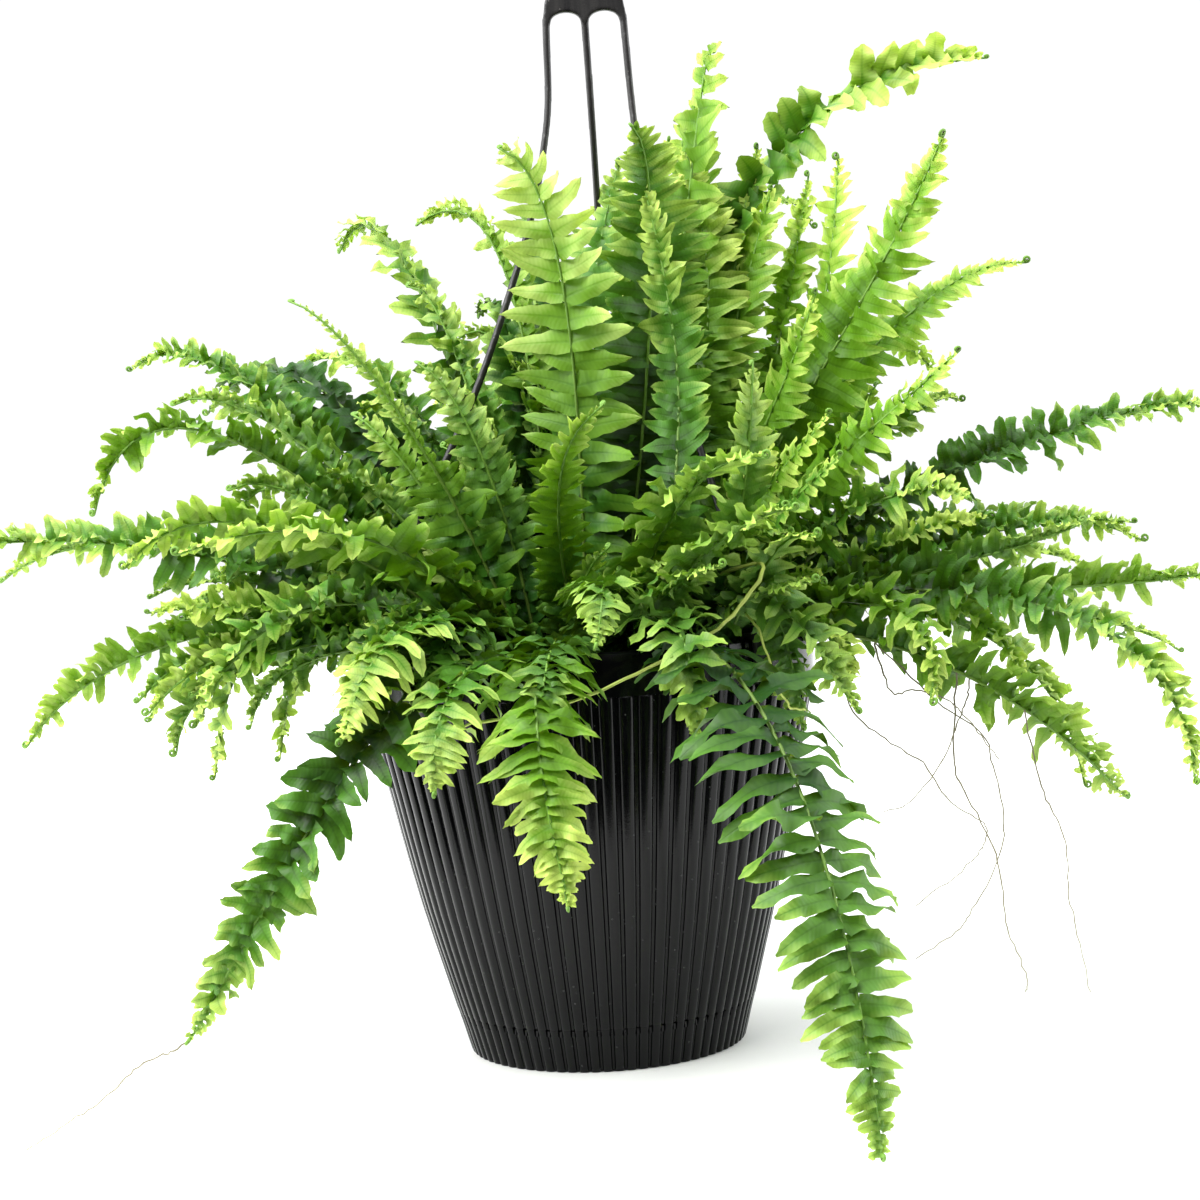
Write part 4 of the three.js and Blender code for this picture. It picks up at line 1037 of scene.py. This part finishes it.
# nothing grows beside these, so that they show as clearly as in the photograph
ALONE = ["crown_02", "crown_06", "crown_07", "front_01", "front_03", "front_04", "front_06",
         "front_07", "front_08"]
for group, (rounds, low, high, choices) in SMALLER.items():
    for number in range(1, rounds + 1):
        small = []
        for stalk, reach in (fronds[name] for name in fronds
                             if name.startswith(group) and name not in ALONE):
            for _ in range(TRIES):
                size = chance.uniform(low, high)
                sibling = stalk.sibling(math.radians(chance.choice((-1, 1)) * chance.uniform(4, 17)),
                                        math.radians(chance.uniform(-6, 12)), size)
                if sibling.is_free():
                    small.append(build_frond("young", sibling, reach * (0.5 + 0.4 * size),
                                             GROUPS[group][0], chance.choice(choices)))
                    break
        print(len(small), "young fronds")
        dress(join(small[0], small[1:], f"young_fronds_{group}_{number}"), "leaf")

# %% Some placed one by one: before the hanger's legs, behind the crown and over the rim at the right
# points of each line in millimetres, the longest leaflet, the look and the skins
OWN_LINES = [
    ([(8, -50, 197), (6, -34, 270), (10, -22, 350), (14, -8, 405), (22, 5, 450), (34, 14, 490)],
     30, "loose", grown),
    ([(30, -70, 197), (40, -86, 240), (50, -84, 300), (56, -72, 360), (52, -60, 420), (44, -52, 470)],
     25, "flat", grown),
    ([(52, -66, 197), (66, -92, 235), (80, -106, 280), (88, -112, 325), (92, -114, 365)],
     23, "flat", grown),
    ([(60, -58, 197), (76, -92, 232), (92, -118, 262), (104, -135, 276), (116, -148, 276)],
     23, "flat", grown),
    ([(30, -50, 197), (42, -20, 270), (52, 2, 345), (62, 18, 415), (72, 32, 475), (80, 44, 528)],
     36, "loose", young),
    ([(50, -50, 197), (62, -30, 260), (78, -8, 330), (92, 4, 390), (108, 8, 440), (118, 4, 470)],
     32, "loose", young),
    ([(45, -50, 197), (56, -34, 270), (70, -14, 350), (79, 0, 410), (78, 16, 460), (72, 28, 500)],
     33, "hanging", young),
    ([(60, -50, 197), (88, -34, 265), (120, -16, 330), (138, -6, 385), (150, 0, 440), (156, 4, 485)],
     31, "loose", young),
    ([(44, -50, 197), (40, -28, 270), (38, -2, 350), (44, 16, 415), (52, 28, 465), (64, 38, 506)],
     30, "loose", young),
    ([(60, -45, 197), (66, -24, 270), (80, 0, 350), (92, 16, 410), (104, 28, 462), (114, 34, 498)],
     30, "hanging", young),
    ([(66, -45, 197), (82, -24, 262), (102, -2, 330), (118, 10, 385), (130, 14, 430), (140, 14, 478)],
     27, "arched", young),
    ([(60, -55, 197), (74, -84, 238), (88, -112, 250), (104, -128, 236), (118, -134, 214),
      (132, -136, 188)],
     23, "rope", shaded),
    ([(66, -40, 197), (82, -62, 236), (94, -80, 244), (102, -90, 226), (106, -96, 202),
      (108, -100, 178)],
     22, "hanging", shaded),
]
print(len(OWN_LINES), "lines by hand")

# %% Six that hang over the rim behind, so that it isn't bare from there
# distance from the pot's axis and height of each point of the arc, in millimetres
OVER_THE_RIM = [(52, 197), (84, 236), (118, 254), (148, 240), (166, 206), (174, 162)]
BEHIND_AZIMUTHS = (38, 62, 92, 118, 143, 167)
DRIFT = 0.002  # how far each turns aside as it grows, in radians for a millimetre
BEHIND = []
for number, azimuth in enumerate(BEHIND_AZIMUTHS):
    turn, size = math.radians(azimuth), 1 + 0.1 * (number % 3)
    arc = [(far * size * math.cos(turn + DRIFT * far), far * size * math.sin(turn + DRIFT * far), height)
           for far, height in OVER_THE_RIM]
    BEHIND.append((arc, 24 + 2 * (number % 3), "arched", grown))
print(len(BEHIND), "arcs behind")

# %% Grow both, and put the model leaflets away
for bunch_name, lines in (("young_fronds_placed_singly", OWN_LINES),
                          ("young_fronds_over_the_rim", BEHIND)):
    small = []
    for points, longest, look, skins in lines:
        stalk = Stalk(smooth_line([Vector(p) * MM for p in points], 6))
        small.append(build_frond("young", stalk, longest * MM, look, skins))
    print(len(small), "young fronds")
    dress(join(small[0], small[1:], bunch_name), "leaf")
for leaf in leaflets.values():
    bpy.data.objects.remove(leaf)

# %% [markdown]
# ## Runners and hair roots
# The plant sends out bare, pale runners, 2 mm thick, and dry roots as thin as hair hang from it.
# A root of hair's width would vanish at this distance, so they are drawn up to 1 mm thick. Both
# are tubes along smooth curves, because a curve's bevel keeps their thickness in hand. The
# runners follow the CAD's own points; the roots start on a frond's stalk.

# %% Where they run, in millimetres
RUNNERS = {
    "runner_pale": [(50, -62, 196), (50, -62, 213), (57, -86, 250), (90, -128, 264),
                    (72, -150, 240), (40, -160, 222), (0, -150, 205), (-45, -150, 196),
                    (-90, -135, 188), (-120, -125, 180)],
    "runner_thin": [(72, -50, 196), (72, -50, 213), (79, -84, 238), (86, -128, 232),
                    (92, -138, 208), (99, -130, 192), (108, -122, 189)],
}
ROOTS = {
    "left": [(-206, -142, 46), (-217, -142, 40), (-233, -144, 34), (-247, -148, 22),
             (-261, -154, 14), (-273, -162, 8), (-287, -170, 1)],
    "a": [(150, -80, 219), (181, -80, 186), (203, -80, 168), (209, -80, 150), (213, -80, 120),
          (208, -80, 98), (194, -80, 75), (185, -80, 64), (163, -80, 51)],
    "b": [(150, -80, 218), (157, -86, 193), (170, -86, 193), (187, -86, 186), (201, -86, 169),
          (211, -86, 154)],
    "c": [(132, -73, 224), (135, -82, 187), (153, -82, 168), (172, -82, 154), (185, -82, 133),
          (202, -82, 121), (202, -82, 111), (192, -82, 99), (164, -82, 79)],
    "d": [(191, -87, 202), (188, -84, 154), (193, -84, 138), (206, -84, 108), (210, -84, 84),
          (212, -84, 63), (220, -84, 39), (219, -84, 31)],
    "e": [(226, -84, 179), (235, -72, 137), (243, -72, 118), (247, -72, 102), (247, -72, 77),
          (252, -72, 49), (256, -72, 26)],
    "f": [(198, -87, 198), (195, -87, 185), (189, -87, 171), (181, -85, 154), (164, -85, 135),
          (149, -85, 130)],
}
print(len(RUNNERS), "runners and", len(ROOTS), "hair roots")

# %% Grow the runners and the roots
RUNNER_THICK = {"runner_pale": 2.3, "runner_thin": 1.7}
ROOT_THICK, WOBBLE = 1.0, 0.35


def shoot(name, points, thick, skin, *nodes):
    """A tapered shoot through points in millimetres, with a little wobble."""
    line = smooth_line(points, 7)
    count = len(line)
    for spot in line[1:-1]:
        spot += Vector([chance.gauss(0, WOBBLE) for _ in range(3)])
    thicks = [thick * (1 - 0.45 * k / count) * chance.uniform(0.88, 1.14) for k in range(count)]
    made = stalk_mesh([p * MM for p in line], thicks, [k / count for k in range(count)], skin)
    made.name = made.data.name = name
    dress(made, "runner", *nodes)


for name, points in RUNNERS.items():
    shoot(name + "_shoot", points, RUNNER_THICK[name], runner_skin, name)
for name, points in ROOTS.items():
    shoot("hair_root_" + name, points, ROOT_THICK, root_skin)

# %% [markdown]
# ## Floor and light
# The photograph was taken on a white floor before a white wall, with soft light from all sides
# and more from above. The floor is a plain pale sheet. A lamp for every side would leave hard
# lights on the ribs, so the surroundings give most of the light. They are lighter above and
# behind than in front, because the pot's front mirrors only a dim room.

# %% A white sheet as the floor
SHEET = 8  # metres each way
SHEET_FRONT = 0.32  # it ends this far in front of the pot's middle, just below the picture
floor_skin, tree = fresh_material("white painted floor")
# matt paint takes soft shadows and no reflection; its clouds are 110 mm wide
cloud = add(tree, "TexNoise", {"Vector": add(tree, "TexCoord").outputs["Object"]}, Scale=9.0, Detail=5.0)
paint = add(tree, "ValToRGB", {"Fac": cloud.outputs["Fac"]}, stops=((0.3, "#f4f3f0"), (0.7, "#fbfbf9")))
matt = add(tree, "BsdfPrincipled", {"Base Color": paint.outputs["Color"]}, Roughness=0.75)
add(tree, "OutputMaterial", {"Surface": matt.outputs[0]})
floor = start(bpy.ops.mesh.primitive_plane_add, size=SHEET)
pick(floor, lambda co: co.y < 0)
bpy.ops.transform.translate(value=(0, SHEET / 2 - SHEET_FRONT, 0))
floor = finished(floor, "floor", floor_skin)

# %% Surroundings that are lighter above and behind, with a window at each side
studio = bpy.data.worlds.new("studio")
bpy.context.scene.world = studio
studio.use_nodes = True
tree = studio.node_tree
tree.nodes.clear()
way = add(tree, "SeparateXYZ", {0: add(tree, "TexCoord").outputs["Generated"]})
behind = add(tree, "MapRange", {"Value": way.outputs["Y"]},
             From_Min=-0.5, From_Max=0.3, To_Min=0.03, To_Max=1.35)
above = add(tree, "MapRange", {"Value": way.outputs["Z"]},
            From_Min=0.15, From_Max=0.95, To_Min=0.0, To_Max=1.7)
sideways = add(tree, "Math", {0: way.outputs["X"]}, operation="ABSOLUTE")
windows = add(tree, "MapRange", {"Value": sideways.outputs[0]},
              From_Min=0.82, From_Max=0.95, To_Min=0.0, To_Max=4.2)
lower = add(tree, "Math", {0: behind.outputs[0], 1: windows.outputs[0]}, operation="ADD")
glow = add(tree, "Math", {0: lower.outputs[0], 1: above.outputs[0]}, operation="ADD")
room = add(tree, "Background", {"Strength": glow.outputs[0]}, Color=screen("#fbfdff"))
backdrop = add(tree, "Background", Color=(1, 1, 1, 1), Strength=1.05)
ray = add(tree, "LightPath")  # only the camera sees the plain white backdrop
both = add(tree, "MixShader",
           {0: ray.outputs["Is Camera Ray"], 1: room.outputs[0], 2: backdrop.outputs[0]})
add(tree, "OutputWorld", {"Surface": both.outputs[0]})

# %% One soft lamp
LAMP_AT, LAMP_AIM = Vector((-0.9, -0.9, 1.7)), Vector((0, 0, 0.25))
LAMP_SIZE, LAMP_WATTS = 1.4, 62
bpy.ops.object.light_add(type="AREA", location=LAMP_AT)
lamp = bpy.context.object
lamp.rotation_euler = (LAMP_AIM - LAMP_AT).to_track_quat("-Z", "Y").to_euler()
lamp.data.size = LAMP_SIZE
lamp.data.energy = LAMP_WATTS
bpy.context.scene.view_settings.view_transform = "Standard"
print("lamp", lamp.data.energy, "W")
